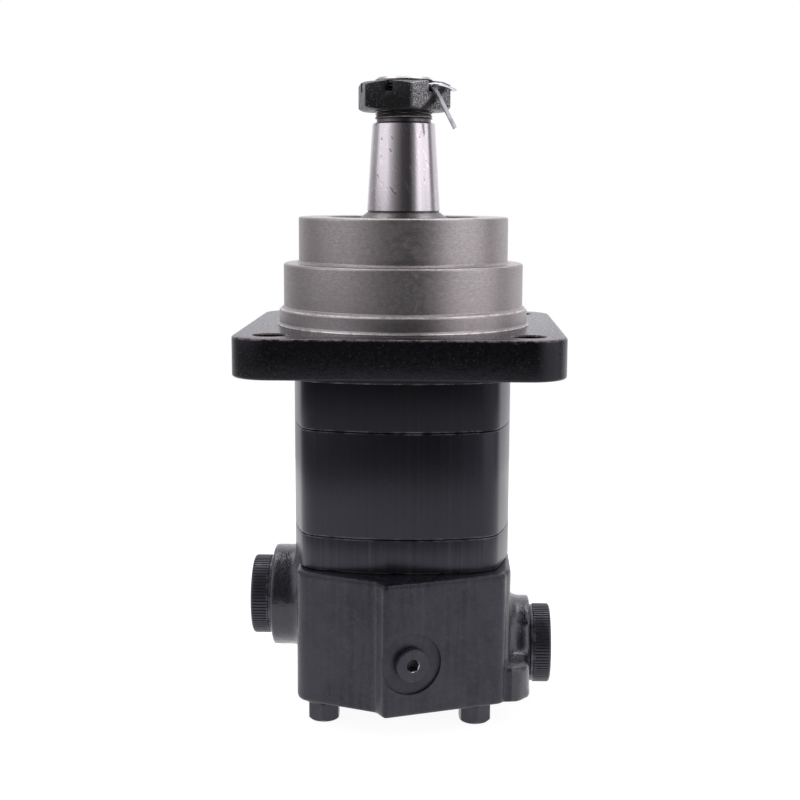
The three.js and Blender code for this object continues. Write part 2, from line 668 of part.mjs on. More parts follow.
const shaftParts = new THREE.Group();
motor.add(shaftParts);
addMesh('output_shaft', outputShaft(), groundSteel(), shaftParts);
addMesh('shaft_key', onKeySeat(keyBlock()), hardSteel(), shaftParts);
addMesh('shaft_nut', shaftNut(), darkSteel(), shaftParts);
addMesh('cotter_pin', cotterPin(), brightZinc(), shaftParts);

// Tapered roller bearing drawn with its wide end up: the cone's back is at the top.
function bearingRaces({ bore, outer, bottom, top }) {
  const height = top - bottom;
  const section = outer - bore;
  const wideRib = bore + section * 0.51;
  const cone = [
    [bore + GAP, bottom + GAP],
    [bore + section * 0.28, bottom + GAP],
    [bore + section * 0.28, bottom + 1.8],
    [bore + section * 0.21, bottom + 1.8],
    [bore + section * 0.38, top - 3.0],
    [wideRib, top - 3.0],
    [wideRib, top],
    [bore + GAP, top],
  ];
  const cup = [
    [bore + section * 0.64, bottom],
    [outer, bottom],
    [outer, bottom + height * 0.84],
    [bore + section * 0.9, bottom + height * 0.84],
  ];
  return { cone: turned(cone), cup: turned(cup) };
}

// The rollers of one bearing and the cage that spaces them, with one flat side of the cage to each roller.
function bearingRollers({ bore, outer, bottom, top }) {
  const section = outer - bore;
  const low = bottom + 2.1;
  const high = top - 3.3;
  const lowRadius = bore + section * 0.43;
  const highRadius = bore + section * 0.63;
  const tilt = Math.atan2(highRadius - lowRadius, high - low);
  const length = Math.hypot(highRadius - lowRadius, high - low) - 0.8;
  const cageHalf = 0.6;
  const pitch = (2 * Math.PI) / BEARING_ROLLERS;
  const cornerScale = 1 / Math.cos(pitch / 2);
  const cage = turned([
    [lowRadius * cornerScale - cageHalf, low],
    [lowRadius * cornerScale + cageHalf, low],
    [highRadius * cornerScale + cageHalf, high],
    [highRadius * cornerScale - cageHalf, high],
  ], BEARING_ROLLERS);
  const rollers = [];
  for (let i = 0; i < BEARING_ROLLERS; i += 1) {
    rollers.push(new THREE.CylinderGeometry(section * 0.2, section * 0.165, length, 6)
      .rotateX(Math.PI / 2)
      .rotateY(tilt)
      .translate((lowRadius + highRadius) / 2, 0, (low + high) / 2)
      .rotateZ((i + 0.5) * pitch));
  }
  return join(cage, ...rollers);
}

// The rear bearing faces the other way, so it is drawn upside down about its own middle.
function flipped(geometry, { bottom, top }) {
  return geometry.rotateX(Math.PI).translate(0, 0, bottom + top);
}

const frontRaces = bearingRaces(FRONT_BEARING);
const rearRaces = bearingRaces(REAR_BEARING);
addMesh('front_bearing_cup', frontRaces.cup, hardSteel());
addMesh('front_bearing_cone', frontRaces.cone, hardSteel(), shaftParts);
addMesh('front_bearing_rollers', bearingRollers(FRONT_BEARING), hardSteel());
addMesh('rear_bearing_cup', flipped(rearRaces.cup, REAR_BEARING), hardSteel());
addMesh('rear_bearing_cone', flipped(rearRaces.cone, REAR_BEARING), hardSteel(), shaftParts);
addMesh('rear_bearing_rollers', flipped(bearingRollers(REAR_BEARING), REAR_BEARING), hardSteel());

addMesh('shaft_lock_ring', openRing(18.2, 21.6, 203.0, 204.1, 14 * DEGREE), darkSteel(), shaftParts);

// Shaft seal with a sprung lip, its retaining ring and the dust wiper outside it.
function shaftSeal() {
  const outer = FRONT_BEARING.outer;
  const lip = SHAFT.journal + GAP;
  return turned([
    [lip, 206.6], [lip + 1.6, 205.6], [lip + 3.2, 209.2], [outer - 2.4, 209.2],
    [outer - 2.4, 205.6], [outer, 205.6], [outer, 210.9], [lip + 1.6, 210.9],
  ]);
}

function dustWiper() {
  const outer = FRONT_BEARING.outer;
  const lip = SHAFT.journal + GAP;
  return turned([[lip + 0.8, 213.1], [outer, 213.1], [outer, 214.9], [lip + 1.4, 214.9], [lip, 214.3]]);
}

addMesh('shaft_seal', shaftSeal(), blackRubber());
addMesh('seal_retaining_ring', openRing(30.4, 33.8, 211.4, 212.6, 12 * DEGREE), darkSteel());
addMesh('dust_wiper', dustWiper(), blackRubber());

// ---------------------------------------------------------------- gear set and drive links

// Star outline: the path of a roller's centre as seen from the star, moved inwards by the roller's radius.
function starOutline() {
  const { rollers, rollerCircle, rollerRadius, eccentricity } = GEAR;
  const inset = rollerRadius + GAP;
  const pointsPerLobe = 12;
  const count = (rollers - 1) * pointsPerLobe;
  const points = [];
  for (let i = 0; i < count; i += 1) {
    const angle = (i * 2 * Math.PI) / count;
    const [centreX, centreY] = polar(rollerCircle, angle);
    const [swingX, swingY] = polar(eccentricity, rollers * angle);
    const path = new THREE.Vector2(centreX - swingX, centreY - swingY);
    const direction = new THREE.Vector2(-centreY + rollers * swingY, centreX - rollers * swingX).normalize();
    points.push(new THREE.Vector2(path.x - inset * direction.y, path.y + inset * direction.x));
  }
  return points;
}

function gearStar() {
  const shape = new THREE.Shape(starOutline());
  shape.holes.push(new THREE.Path(socketSpline()));
  return prism(shape, LEVEL.valvePlateTop + GAP, LEVEL.ringTop);
}

const star = addMesh('geroler_star', gearStar(), hardSteel());
star.position.x = GEAR.eccentricity;

for (let i = 0; i < GEAR.rollers; i += 1) {
  const [x, y] = polar(GEAR.rollerCircle, (i * 2 * Math.PI) / GEAR.rollers);
  const roller = rod(GEAR.rollerRadius, LEVEL.valvePlateTop + GAP, LEVEL.ringTop, ROLLER_SIDES);
  addMesh(`geroler_roller_${i + 1}`, roller, hardSteel()).position.set(x, y, 0);
}

// Splined link with a plain neck, drawn along Z from the middle of one spline to the middle of the other.
function driveLink({ toothLength, neck }, length) {
  const half = toothLength / 2;
  const shank = turned([
    [0, half - 1], [SPLINE.linkRoot - 0.8, half - 1], [SPLINE.linkRoot - 0.8, half], [neck, half + 2],
    [neck, length - half - 2], [SPLINE.linkRoot - 0.8, length - half],
    [SPLINE.linkRoot - 0.8, length - half + 1],
    [0, length - half + 1],
  ]);
  return join(crownedSpline(0, toothLength), shank, crownedSpline(length, toothLength));
}

// The main link leans from the star's centre to the shaft, and the valve link from the star's
// centre to the valve.
const mainRise = MAIN_LINK.upper - MAIN_LINK.lower;
const mainLink = addMesh(
  'main_drive_link',
  driveLink(MAIN_LINK, Math.hypot(mainRise, GEAR.eccentricity)),
  hardSteel(),
);
mainLink.position.set(GEAR.eccentricity, 0, MAIN_LINK.lower);
mainLink.rotation.y = -Math.atan2(GEAR.eccentricity, mainRise);

const valveRise = VALVE_LINK.upper - VALVE_LINK.lower;
const valveLink = addMesh(
  'valve_drive_link',
  driveLink(VALVE_LINK, Math.hypot(valveRise, GEAR.eccentricity)),
  hardSteel(),
);
valveLink.position.set(0, 0, VALVE_LINK.lower);
valveLink.rotation.y = Math.atan2(GEAR.eccentricity, valveRise);

// Loose thrust disc between the end of the main link and the end of the shaft's bore.
const spacer = turned([[0, 160.8], [9.5, 160.8], [11.4, 161.6], [11.4, 163.4], [10.8, 164.0], [0, 164.0]]);
addMesh('drive_spacer', spacer, hardSteel());

// ---------------------------------------------------------------- disc valve and balance ring

// Rotary valve: outer notches and inner windows take turns at the valve plate's passages.
function rotaryValve() {
  const { radius, bottom, windowCircle, windowRadius, notchDepth } = ROTARY_VALVE;
  const top = LEVEL.valveHousingTop;
  const lobes = GEAR.rollers - 1;
  const blank = turned([[7.5, bottom], [radius, bottom], [radius, top], [7.5, top]]);
  const spline = prism(new THREE.Shape(socketSpline()), bottom + 2.0, top + 1);
  const cutters = [];
  for (let i = 0; i < lobes; i += 1) {
    const windowAngle = (i * 2 * Math.PI) / lobes;
    const notchAngle = windowAngle + Math.PI / lobes;
    const window = rod(windowRadius, bottom - 1, top + 1, HOLE_SIDES);
    cutters.push(window.translate(...polar(windowCircle, windowAngle), 0));
    cutters.push(box(12, 4.6, 2 * notchDepth, 25, 0, top).rotateZ(notchAngle));
  }
  return cut(blank, spline, ...cutters);
}

function balanceRing() {
  const { top, shelf, bottom, flange, skirt, bore } = BALANCE_RING;
  return turned([
    [bore, bottom], [14.6, bottom], [14.6, bottom + 1.4], [17.4, bottom + 1.4], [17.4, bottom],
    [skirt, bottom],
    [skirt, 37.6], [22.2, 37.6], [22.2, 40.2], [skirt, 40.2], [skirt, shelf], [flange, shelf], [flange, top],
    [bore, top],
  ]);
}

class Helix extends THREE.Curve {
  constructor(radius, bottom, top, turns) {
    super();
    Object.assign(this, { radius, bottom, top, turns });
  }

  getPoint(share, target = new THREE.Vector3()) {
    const [x, y] = polar(this.radius, share * this.turns * 2 * Math.PI);
    return target.set(x, y, this.bottom + share * (this.top - this.bottom));
  }
}

function balanceSpring() {
  const bottom = SPRING.pocketFloor + GAP + SPRING.wire;
  const top = BALANCE_RING.shelf - GAP - SPRING.wire;
  return new THREE.ExtrudeGeometry(new THREE.Shape().absarc(0, 0, SPRING.wire, 0, 2 * Math.PI), {
    steps: 8 * SPRING.turns,
    curveSegments: 2,
    extrudePath: new Helix(SPRING.coilRadius, bottom, top, SPRING.turns),
  });
}

addMesh('rotary_valve', rotaryValve(), hardSteel());
addMesh('balance_ring', balanceRing(), hardSteel());
addMesh('balance_ring_outer_seal', sealRing(23.45, 0.95, 38.9), blackRubber());
addMesh('balance_ring_inner_seal', sealRing(16.0, 0.95, 36.15), blackRubber());
[45, 225].forEach((angle, i) => {
  const [x, y] = polar(SPRING.circle, angle * DEGREE);
  addMesh(`balance_spring_${i + 1}`, balanceSpring(), brightZinc()).position.set(x, y, 0);
});

export default motor;
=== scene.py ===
import json
from math import acos, atan, atan2, ceil, cos, hypot, pi, radians, sin, sqrt, tan

import bmesh
import bpy
from mathutils import Matrix, Vector


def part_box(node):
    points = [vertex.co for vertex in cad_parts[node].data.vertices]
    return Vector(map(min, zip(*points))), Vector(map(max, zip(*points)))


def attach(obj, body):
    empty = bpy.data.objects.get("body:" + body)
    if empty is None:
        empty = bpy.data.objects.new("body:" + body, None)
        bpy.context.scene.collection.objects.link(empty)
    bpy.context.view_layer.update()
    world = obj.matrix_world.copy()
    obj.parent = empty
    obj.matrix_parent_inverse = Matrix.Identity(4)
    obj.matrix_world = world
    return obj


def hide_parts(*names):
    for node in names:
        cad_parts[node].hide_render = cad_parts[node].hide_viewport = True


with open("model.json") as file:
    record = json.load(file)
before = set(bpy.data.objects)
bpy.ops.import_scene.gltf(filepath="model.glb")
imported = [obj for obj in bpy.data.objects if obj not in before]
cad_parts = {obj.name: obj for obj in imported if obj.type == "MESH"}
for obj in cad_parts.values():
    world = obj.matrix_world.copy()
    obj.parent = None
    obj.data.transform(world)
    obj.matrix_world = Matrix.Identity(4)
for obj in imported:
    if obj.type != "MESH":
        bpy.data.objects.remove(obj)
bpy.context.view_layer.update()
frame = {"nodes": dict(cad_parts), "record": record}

# ---------------- sizes, in millimetres

MM = 0.001
FINE = 160  # sides of a large round face
SMALL = 72  # sides of a small round face
GAP = 0.3  # clearance between pieces that fit together


def low(node):
    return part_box(node)[0] / MM


def high(node):
    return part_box(node)[1] / MM


# Heights along the motor's axis.
HOUSING_BOTTOM = low("bearing_housing").z
NECK_BOTTOM = 148.0
FLANGE_BOTTOM = 152.0
FLANGE_TOP = 168.6
SHOULDER_TOP = 175.6
LOWER_PILOT_TOP = 195.3
UPPER_PILOT_TOP = high("bearing_housing").z
RING_BOTTOM, RING_TOP = low("geroler_ring").z, high("geroler_ring").z
PLATE_BOTTOM, PLATE_TOP = low("valve_plate").z, high("valve_plate").z
CASTING_BOTTOM, CASTING_TOP = 10.9, high("valve_housing").z
NUT_BOTTOM, NUT_TOP = low("shaft_nut").z, high("shaft_nut").z
SHAFT_BOTTOM, SHAFT_END = low("output_shaft").z, high("output_shaft").z
TAPER_BOTTOM, TAPER_TOP = 218.0, 254.7

# Square body with bowed sides, flange and pilots.
BODY_HALF, BODY_CROWN, BODY_CORNER, NECK_STEP = 47.3, 110.0, 13.0, 1.4
FLANGE_HALF, FLANGE_CORNER, FLANGE_HOLE = high("bearing_housing").x, 15.6, 6.8
FLANGE_HOLE_REACH = 147.6 / 2 / sqrt(2)
SHOULDER_RADIUS, LOWER_PILOT, UPPER_PILOT = 53.975, 52.0, 45.4
BOLT_REACH, BOLT_HOLE, BOLT_SHANK, BOLT_FLATS, BOLT_THREAD_END = 32.5, 4.3, 3.97, 12.7, 146.5
SEAL_CIRCLE, SEAL_GROOVE_HALF, SEAL_GROOVE_DEPTH = 39.7, 1.0, 1.7

# Gear set.
ROLLERS, ROLLER_CIRCLE, ROLLER_RADIUS, RING_BORE = 7, 29.5, 6.1, 29.2

# Valve housing: plan corners are (x, y, radius).
CASTING_LEFT, CASTING_RIGHT = -43.6, 47.3
RIDGE_PLAN = [
    (CASTING_LEFT, -42.7, 8.0), (-9.3, -56.7, 2.0), (-5.4, -63.3, 1.5),
    (45.0, -43.5, 4.0), (45.0, -10.0, 0.0), (CASTING_LEFT, -10.0, 0.0),
]
CASTING_PLAN = [
    (CASTING_LEFT, -41.5, 8.0), (10.0, -46.0, 0.0), (CASTING_RIGHT, -46.0, 13.0),
    (CASTING_RIGHT, 46.5, 13.0), (CASTING_LEFT, 46.5, 13.0),
]
FOOT_PLAN = [
    (43.0, -41.3, 1.0), (50.6, -41.3, 6.0), (56.3, -34.0, 7.0), (56.3, 25.0, 9.0), (40.0, 42.0, 3.0),
]
FOOT_TOP = 26.0
PORT_FACE = 57.3
LEFT_PORT = {"side": -1, "height": 45.4, "boss": 22.5, "passage": 8.0, "passage_end": 30.0}
RIGHT_PORT = {"side": 1, "height": 24.1, "boss": 21.3, "passage": 7.0, "passage_end": 0.0}
PORT_THREAD, PORT_THREAD_END = 11.1, 43.0
DRAIN_CENTRE, DRAIN_ANGLE = Vector((5.9, -58.86, 33.2)), radians(21)
DRAIN_SPOT, DRAIN_SPOT_DEPTH = 12.9, 1.5

# Shaft, nut and pin.
JOURNAL, TAPER_LARGE, THREAD, THREAD_PITCH = 19.05, 15.75, 12.35, 1.27
TAPER_SLOPE = 1 / 16  # of the radius: 1 in 8 on the diameter
TAPER_SMALL = TAPER_LARGE - (TAPER_TOP - TAPER_BOTTOM) * TAPER_SLOPE
NUT_FLATS, NUT_CORNER_AZIMUTH, NUT_SLOT_WIDTH, NUT_SLOT_DEPTH = 36.5, radians(-78.5), 3.4, 4.4
PIN_AZIMUTH, PIN_HEIGHT = NUT_CORNER_AZIMUTH + radians(30), 269.7
SMEAR = 14.3 - 0.9 * 266  # where the slanting smear crosses the nut's scuffed flat
KEY_WIDTH, KEY_LENGTH, KEY_MIDDLE = 7.9, 26.0, 236.0

# ---------------- mesh helpers


def new_object(name, bm):
    mesh = bpy.data.meshes.new(name)
    bm.to_mesh(mesh)
    bm.free()
    obj = bpy.data.objects.new(name, mesh)
    bpy.context.scene.collection.objects.link(obj)
    return obj


def modify(obj, kind, **settings):
    """Adds a modifier and applies it."""
    modifier = obj.modifiers.new(kind, kind)
    for key, value in settings.items():
        setattr(modifier, key, value)
    graph = bpy.context.evaluated_depsgraph_get()
    mesh = bpy.data.meshes.new_from_object(obj.evaluated_get(graph))
    obj.modifiers.clear()
    old, obj.data = obj.data, mesh
    bpy.data.meshes.remove(old)
    return obj


def bevel(obj, width, angle=40, segments=3):
    return modify(
        obj, "BEVEL", width=width, segments=segments, limit_method="ANGLE",
        angle_limit=radians(angle), use_clamp_overlap=True,
    )


def boolean(obj, other, operation="DIFFERENCE"):
    """Combines another piece into this one, and uses the other up."""
    modify(obj, "BOOLEAN", object=other, operation=operation, solver="MANIFOLD")
    mesh = other.data
    bpy.data.objects.remove(other)
    bpy.data.meshes.remove(mesh)
    return obj


def cut(obj, *others):
    for other in others:
        boolean(obj, other)
    return obj


def join(obj, *others):
    for other in others:
        boolean(obj, other, "UNION")
    return obj


def moved(obj, matrix):
    obj.data.transform(matrix)
    return obj


def shifted(obj, x, y, z):
    return moved(obj, Matrix.Translation((x, y, z)))


def circle_point(radius, angle):
    return Vector((radius * cos(angle), radius * sin(angle)))


def arc(centre, radius, start, end, step=6.0):
    """Points of an arc, at most step degrees apart, from one angle to another in radians."""
    count = max(1, ceil(abs(end - start) / radians(step)))
    turn = (end - start) / count
    return [Vector(centre) + circle_point(radius, start + turn * i) for i in range(count + 1)]


def rounded(corners, step=9.0):
    """Closed outline through (x, y, radius) corners, with an arc where the radius isn't zero."""
    points = []
    for i, (x, y, radius) in enumerate(corners):
        corner = Vector((x, y))
        if radius == 0:
            points.append(corner)
            continue
        before = (Vector(corners[i - 1][:2]) - corner).normalized()
        after = (Vector(corners[(i + 1) % len(corners)][:2]) - corner).normalized()
        half = before.angle(after) / 2
        centre = corner + (before + after).normalized() * radius / sin(half)
        start = corner + before * radius / tan(half) - centre
        end = corner + after * radius / tan(half) - centre
        first = atan2(start.y, start.x)
        turn = atan2(start.x * end.y - start.y * end.x, start.dot(end))
        points += arc(centre, radius, first, first + turn, step)
    return points


def ring_at(bm, radius, height, sides, inset=None):
    """Ring of vertices about Z, number k moved in by inset(k), or one vertex on the axis."""
    if radius < 1e-6:
        return [bm.verts.new((0, 0, height))] * sides
    radii = [radius - (inset(k) if inset else 0) for k in range(sides)]
    return [bm.verts.new((*circle_point(radii[k], 2 * pi / sides * k), height)) for k in range(sides)]


def skin(name, bm, rings, closed=False, caps=False):
    """Surface over rings of vertices, closed from the last to the first or with end caps."""
    following_rings = rings[1:] + rings[:1] if closed else rings[1:]
    for ring, following in zip(rings, following_rings):
        for k in range(len(ring)):
            distinct = list(dict.fromkeys([ring[k - 1], ring[k], following[k], following[k - 1]]))
            if len(distinct) > 2:
                bm.faces.new(distinct)
    if caps:
        bm.faces.new(rings[0])
        bm.faces.new(rings[-1])
    bmesh.ops.recalc_face_normals(bm, faces=bm.faces)
    return new_object(name, bm)


def lathe(name, profile, sides=FINE):
    """Solid of revolution about Z from a closed outline of (radius, height) points."""
    bm = bmesh.new()
    return skin(name, bm, [ring_at(bm, radius, height, sides) for radius, height in profile], closed=True)


def prism(name, outline, bottom, top):
    bm = bmesh.new()
    lower = [bm.verts.new((x, y, bottom)) for x, y in outline]
    upper = [bm.verts.new((x, y, top)) for x, y in outline]
    bm.faces.new(lower)
    bm.faces.new(upper)
    for i in range(len(outline)):
        bm.faces.new([lower[i - 1], lower[i], upper[i], upper[i - 1]])
    bmesh.ops.recalc_face_normals(bm, faces=bm.faces)
    return new_object(name, bm)


def rod(name, radius, bottom, top, sides=SMALL):
    return lathe(name, [(0, bottom), (radius, bottom), (radius, top), (0, top)], sides)


def cuboid(name, width, depth, height):
    x, y = width / 2, depth / 2
    return prism(name, [(-x, -y), (x, -y), (x, y), (-x, y)], -height / 2, height / 2)


def hexagon(flats, azimuth):
    return [circle_point(flats / sqrt(3), azimuth + i * pi / 3) for i in range(6)]


def body_outline(grow=0.0):
    """Square with slightly bowed sides: four crown arcs with a tangent arc at each corner."""
    set_back = BODY_CROWN - BODY_HALF
    reach = BODY_CROWN - BODY_CORNER
    corner_centre = (sqrt(2 * reach**2 - set_back**2) - set_back) / 2
    tangent = atan2(corner_centre, corner_centre + set_back)
    points = []
    for side in range(4):
        turn = side * pi / 2
        crown = circle_point(-set_back, turn)
        corner = circle_point(corner_centre * sqrt(2), turn + pi / 4)
        points += arc(crown, BODY_CROWN + grow, turn - tangent, turn + tangent, 2.0)[:-1]
        points += arc(corner, BODY_CORNER + grow, turn + tangent, turn + pi / 2 - tangent, 5.0)[:-1]
    return points


def corners_of(reach):
    return [(-reach, -reach), (reach, -reach), (reach, reach), (-reach, reach)]


def at_corners(reach, make):
    """Four alike pieces, one at each corner of a square."""
    return [shifted(make(), x, y, 0) for x, y in corners_of(reach)]


def face_groove(height, direction):
    """Cutter for the face seal's groove, which opens up (direction 1) or down (-1)."""
    inner, outer = SEAL_CIRCLE - SEAL_GROOVE_HALF, SEAL_CIRCLE + SEAL_GROOVE_HALF
    floor, mouth = height - direction * SEAL_GROOVE_DEPTH, height + direction
    return lathe("groove", [(inner, floor), (outer, floor), (outer, mouth), (inner, mouth)])


def soften(obj, inside, rounds):
    """Blends the surface where inside(x, y, z) is true, as a foundry's fillets do."""
    bm = bmesh.new()
    bm.from_mesh(obj.data)
    near = [vert for vert in bm.verts if inside(*vert.co)]
    for _ in range(rounds):
        bmesh.ops.smooth_vert(
            bm, verts=near, factor=0.5, use_axis_x=True, use_axis_y=True, use_axis_z=True,
        )
    bm.to_mesh(obj.data)
    bm.free()


def shade(obj, angle):
    """Smooth shading that keeps edges sharper than the angle."""
    bm = bmesh.new()
    bm.from_mesh(obj.data)
    for face in bm.faces:
        face.smooth = True
    for edge in bm.edges:
        edge.smooth = len(edge.link_faces) == 2 and edge.calc_face_angle(0) < radians(angle)
    bm.to_mesh(obj.data)
    bm.free()


def place(obj, node, body, slot, *materials, angle=32):
    """Brings a finished piece, drawn in millimetres, into the frame as the stand-in for its CAD node."""
    obj.name = obj.data.name = f"{node}_finish"
    moved(obj, Matrix.Scale(MM, 4))
    shade(obj, angle)
    obj.data.materials.clear()
    for material in materials:
        obj.data.materials.append(material)
    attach(obj, body)
    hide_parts(node)


def choose_materials(obj, index_at):
    """Gives each face the material numbered by index_at(x, y, z) at its centre in millimetres."""
    for face in obj.data.polygons:
        face.material_index = int(index_at(*(value / MM for value in face.center)))


# ---------------- material helpers


def set_inputs(node, **values):
    """Sets sockets' constants; an underscore stands for a space in a socket's name."""
    for socket, value in values.items():
        node.inputs[socket.replace("_", " ")].default_value = value


def add_maths(node_tree, operation, *values):
    """Adds a Math node whose inputs are numbers or other nodes' outputs."""
    node = node_tree.nodes.new("ShaderNodeMath")
    node.operation = operation
    for socket, value in zip(node.inputs, values):
        if isinstance(value, (int, float)):
            socket.default_value = value
        else:
            node_tree.links.new(value, socket)
    return node.outputs["Value"]


class Tree:
    """A material's node tree, with the shader's constants set on its own sockets."""

    def __init__(self, name, base, roughness, metallic=0.0, **constants):
        self.material = bpy.data.materials.new(name)
        self.material.use_nodes = True
        self.nodes = self.material.node_tree.nodes
        self.link = self.material.node_tree.links.new
        self.shader = self.nodes["Principled BSDF"]
        set_inputs(self.shader, Base_Color=(*base, 1), Roughness=roughness, Metallic=metallic, **constants)
        self.place = self.nodes.new("ShaderNodeTexCoord").outputs["Object"]
        self.bumps = None

    def axis(self, name):
        """Coordinate along X, Y or Z."""
        node = self.nodes.new("ShaderNodeSeparateXYZ")
        self.link(self.place, node.inputs["Vector"])
        return node.outputs[name]

    def noise(self, scale, detail=4.0, roughness=0.55, vector=None, distortion=0.0):
        node = self.nodes.new("ShaderNodeTexNoise")
        set_inputs(node, Scale=scale, Detail=detail, Roughness=roughness, Distortion=distortion)
        self.link(vector or self.place, node.inputs["Vector"])
        return node.outputs["Fac"]

    def streaks(self, across, upright, detail, roughness):
        """Noise drawn out along the motor's axis, or round it, by two scales."""
        node = self.nodes.new("ShaderNodeMapping")
        set_inputs(node, Scale=(across, across, upright))
        self.link(self.place, node.inputs["Vector"])
        return self.noise(1, detail, roughness, node.outputs["Vector"])

    def cells(self, scale):
        """Distance to the nearest of many scattered points."""
        node = self.nodes.new("ShaderNodeTexVoronoi")
        set_inputs(node, Scale=scale)
        self.link(self.place, node.inputs["Vector"])
        return node.outputs["Distance"]

    def spread(self, source, low_in, high_in, low_out=0.0, high_out=1.0):
        node = self.nodes.new("ShaderNodeMapRange")
        set_inputs(node, From_Min=low_in, From_Max=high_in, To_Min=low_out, To_Max=high_out)
        self.link(source, node.inputs["Value"])
        return node.outputs["Result"]

    def maths(self, operation, *values):
        return add_maths(self.material.node_tree, operation, *values)

    def times(self, first, second):
        return self.maths("MULTIPLY", first, second)

    def apart(self, source, level):
        return self.maths("ABSOLUTE", self.maths("SUBTRACT", source, level))

    def mix(self, amount, first, second):
        node = self.nodes.new("ShaderNodeMix")
        node.data_type = "RGBA"
        self.link(amount, node.inputs["Factor"])
        for socket, value in ((node.inputs[6], first), (node.inputs[7], second)):
            if isinstance(value, tuple):
                socket.default_value = (*value, 1)
            else:
                self.link(value, socket)
        return node.outputs[2]

    def paint_edge_highlights(self, tone, edges, inner, outer, blotches, bright):
        """Mixes a broken bright line, a painted highlight, into the tone along edges, which are heights in
        millimetres.
        """
        for edge in edges:
            apart = self.apart(self.axis("Z"), edge * MM)
            line = self.spread(apart, inner * MM, outer * MM, 1.0, 0.0)
            tone = self.mix(self.times(line, blotches), tone, bright)
        return tone

    def colour(self, source):
        self.link(source, self.shader.inputs["Base Color"])

    def roughness(self, source):
        self.link(source, self.shader.inputs["Roughness"])

    def bump(self, source, depth):
        """Adds a bump of a depth in millimetres on top of those before it."""
        node = self.nodes.new("ShaderNodeBump")
        set_inputs(node, Strength=1.0, Distance=depth * MM)
        self.link(source, node.inputs["Height"])
        if self.bumps:
            self.link(self.bumps, node.inputs["Normal"])
        self.bumps = node.outputs["Normal"]
        self.link(self.bumps, self.shader.inputs["Normal"])
        self.link(self.bumps, self.shader.inputs["Coat Normal"])


def grey(value, blue=1.08):
    return (value, value * 0.985, value * blue)


PAINT_TINT = (0.84, 0.84, 1.0, 1.0)  # the black enamel's gloss is faintly blue


def machined_paint(name, level, roughness, lines, patch, gloss, edges):
    """Black enamel over machined steel: fine upright tool lines, soft patches and broken grey painted
    highlights along the edges.
    """
    tree = Tree(name, grey(level), roughness, Specular_IOR_Level=gloss, Specular_Tint=PAINT_TINT)
    patches = tree.spread(tree.noise(20, 2, 0.5), 0.30, 0.70)
    marks = tree.streaks(900, 6, 3, 0.65)
    fine = tree.streaks(2600, 25, 2, 0.6)
    scratch = tree.spread(tree.streaks(420, 5, 2, 0.7), 0.66, 0.70)
    grains = tree.spread(tree.noise(1500, 2, 0.6), 0.60, 0.74)
    tone = tree.mix(patches, grey(level * (1 - patch), 1.3), grey(level * (1 + patch), 1.3))
    tone = tree.mix(tree.times(tree.spread(marks, 0.42, 0.74), lines * 0.9), tone, grey(level * 3.0, 1.25))
    tone = tree.mix(tree.times(scratch, lines * 0.35), tone, grey(level * 6.0, 1.15))
    tone = tree.mix(tree.times(grains, 0.4), tone, grey(level * 5.0, 1.2))
    blotches = tree.spread(tree.noise(160, 4, 0.7), 0.42, 0.62)
    # the grey lines along the given edges are painted highlights
    tree.colour(tree.paint_edge_highlights(tone, edges, 0.15, 0.40, blotches, grey(0.10, 1.1)))
    tree.roughness(tree.maths("MULTIPLY_ADD", patches, -0.07, roughness + 0.04))
    tree.bump(tree.maths("ADD", marks, tree.times(fine, 0.6)), 0.03 * lines)
    tree.bump(tree.noise(420, 4), 0.010)
    return tree.material


def cast_paint(name, level, roughness, coat=0.0, grain=0.10, sag=0.5, gloss=0.5, dusty=0.6):
    """Enamel over a sand casting: sags, orange peel, upright brushing, and dust caught in the grain.

    grain and sag are depths in millimetres.
    """
    tree = Tree(name, grey(level, 1.3), roughness, Coat_Weight=coat, Coat_Roughness=0.2,
                Specular_IOR_Level=gloss, Specular_Tint=PAINT_TINT)
    dust = tree.spread(tree.noise(38, 5, 0.65), 0.38, 0.64)
    brushed = tree.spread(tree.streaks(420, 18, 3, 0.6), 0.42, 0.64)
    grains = tree.spread(tree.noise(430, 5, 0.85), 0.50, 0.66)
    tone = tree.mix(dust, grey(level * (1 - dusty), 1.3), grey(level * (1 + 2.0 * dusty), 1.2))
    tone = tree.mix(tree.times(brushed, 0.75 * dusty), tone, grey(level * 3.0, 1.2))
    tree.colour(tree.mix(tree.times(grains, dusty), tone, grey(level * 4.0, 1.12)))
    tree.roughness(tree.spread(tree.noise(120, 5, 0.7), 0.35, 0.65, roughness - 0.11, roughness + 0.09))
    tree.bump(tree.noise(22, 2, 0.5), sag)
    tree.bump(tree.noise(190, 4, 0.6), grain)
    tree.bump(tree.noise(650, 4, 0.7), grain * 0.6)
    tree.bump(tree.spread(tree.cells(95), 0.0, 0.07, 0.0, 1.0), 0.05)
    return tree.material


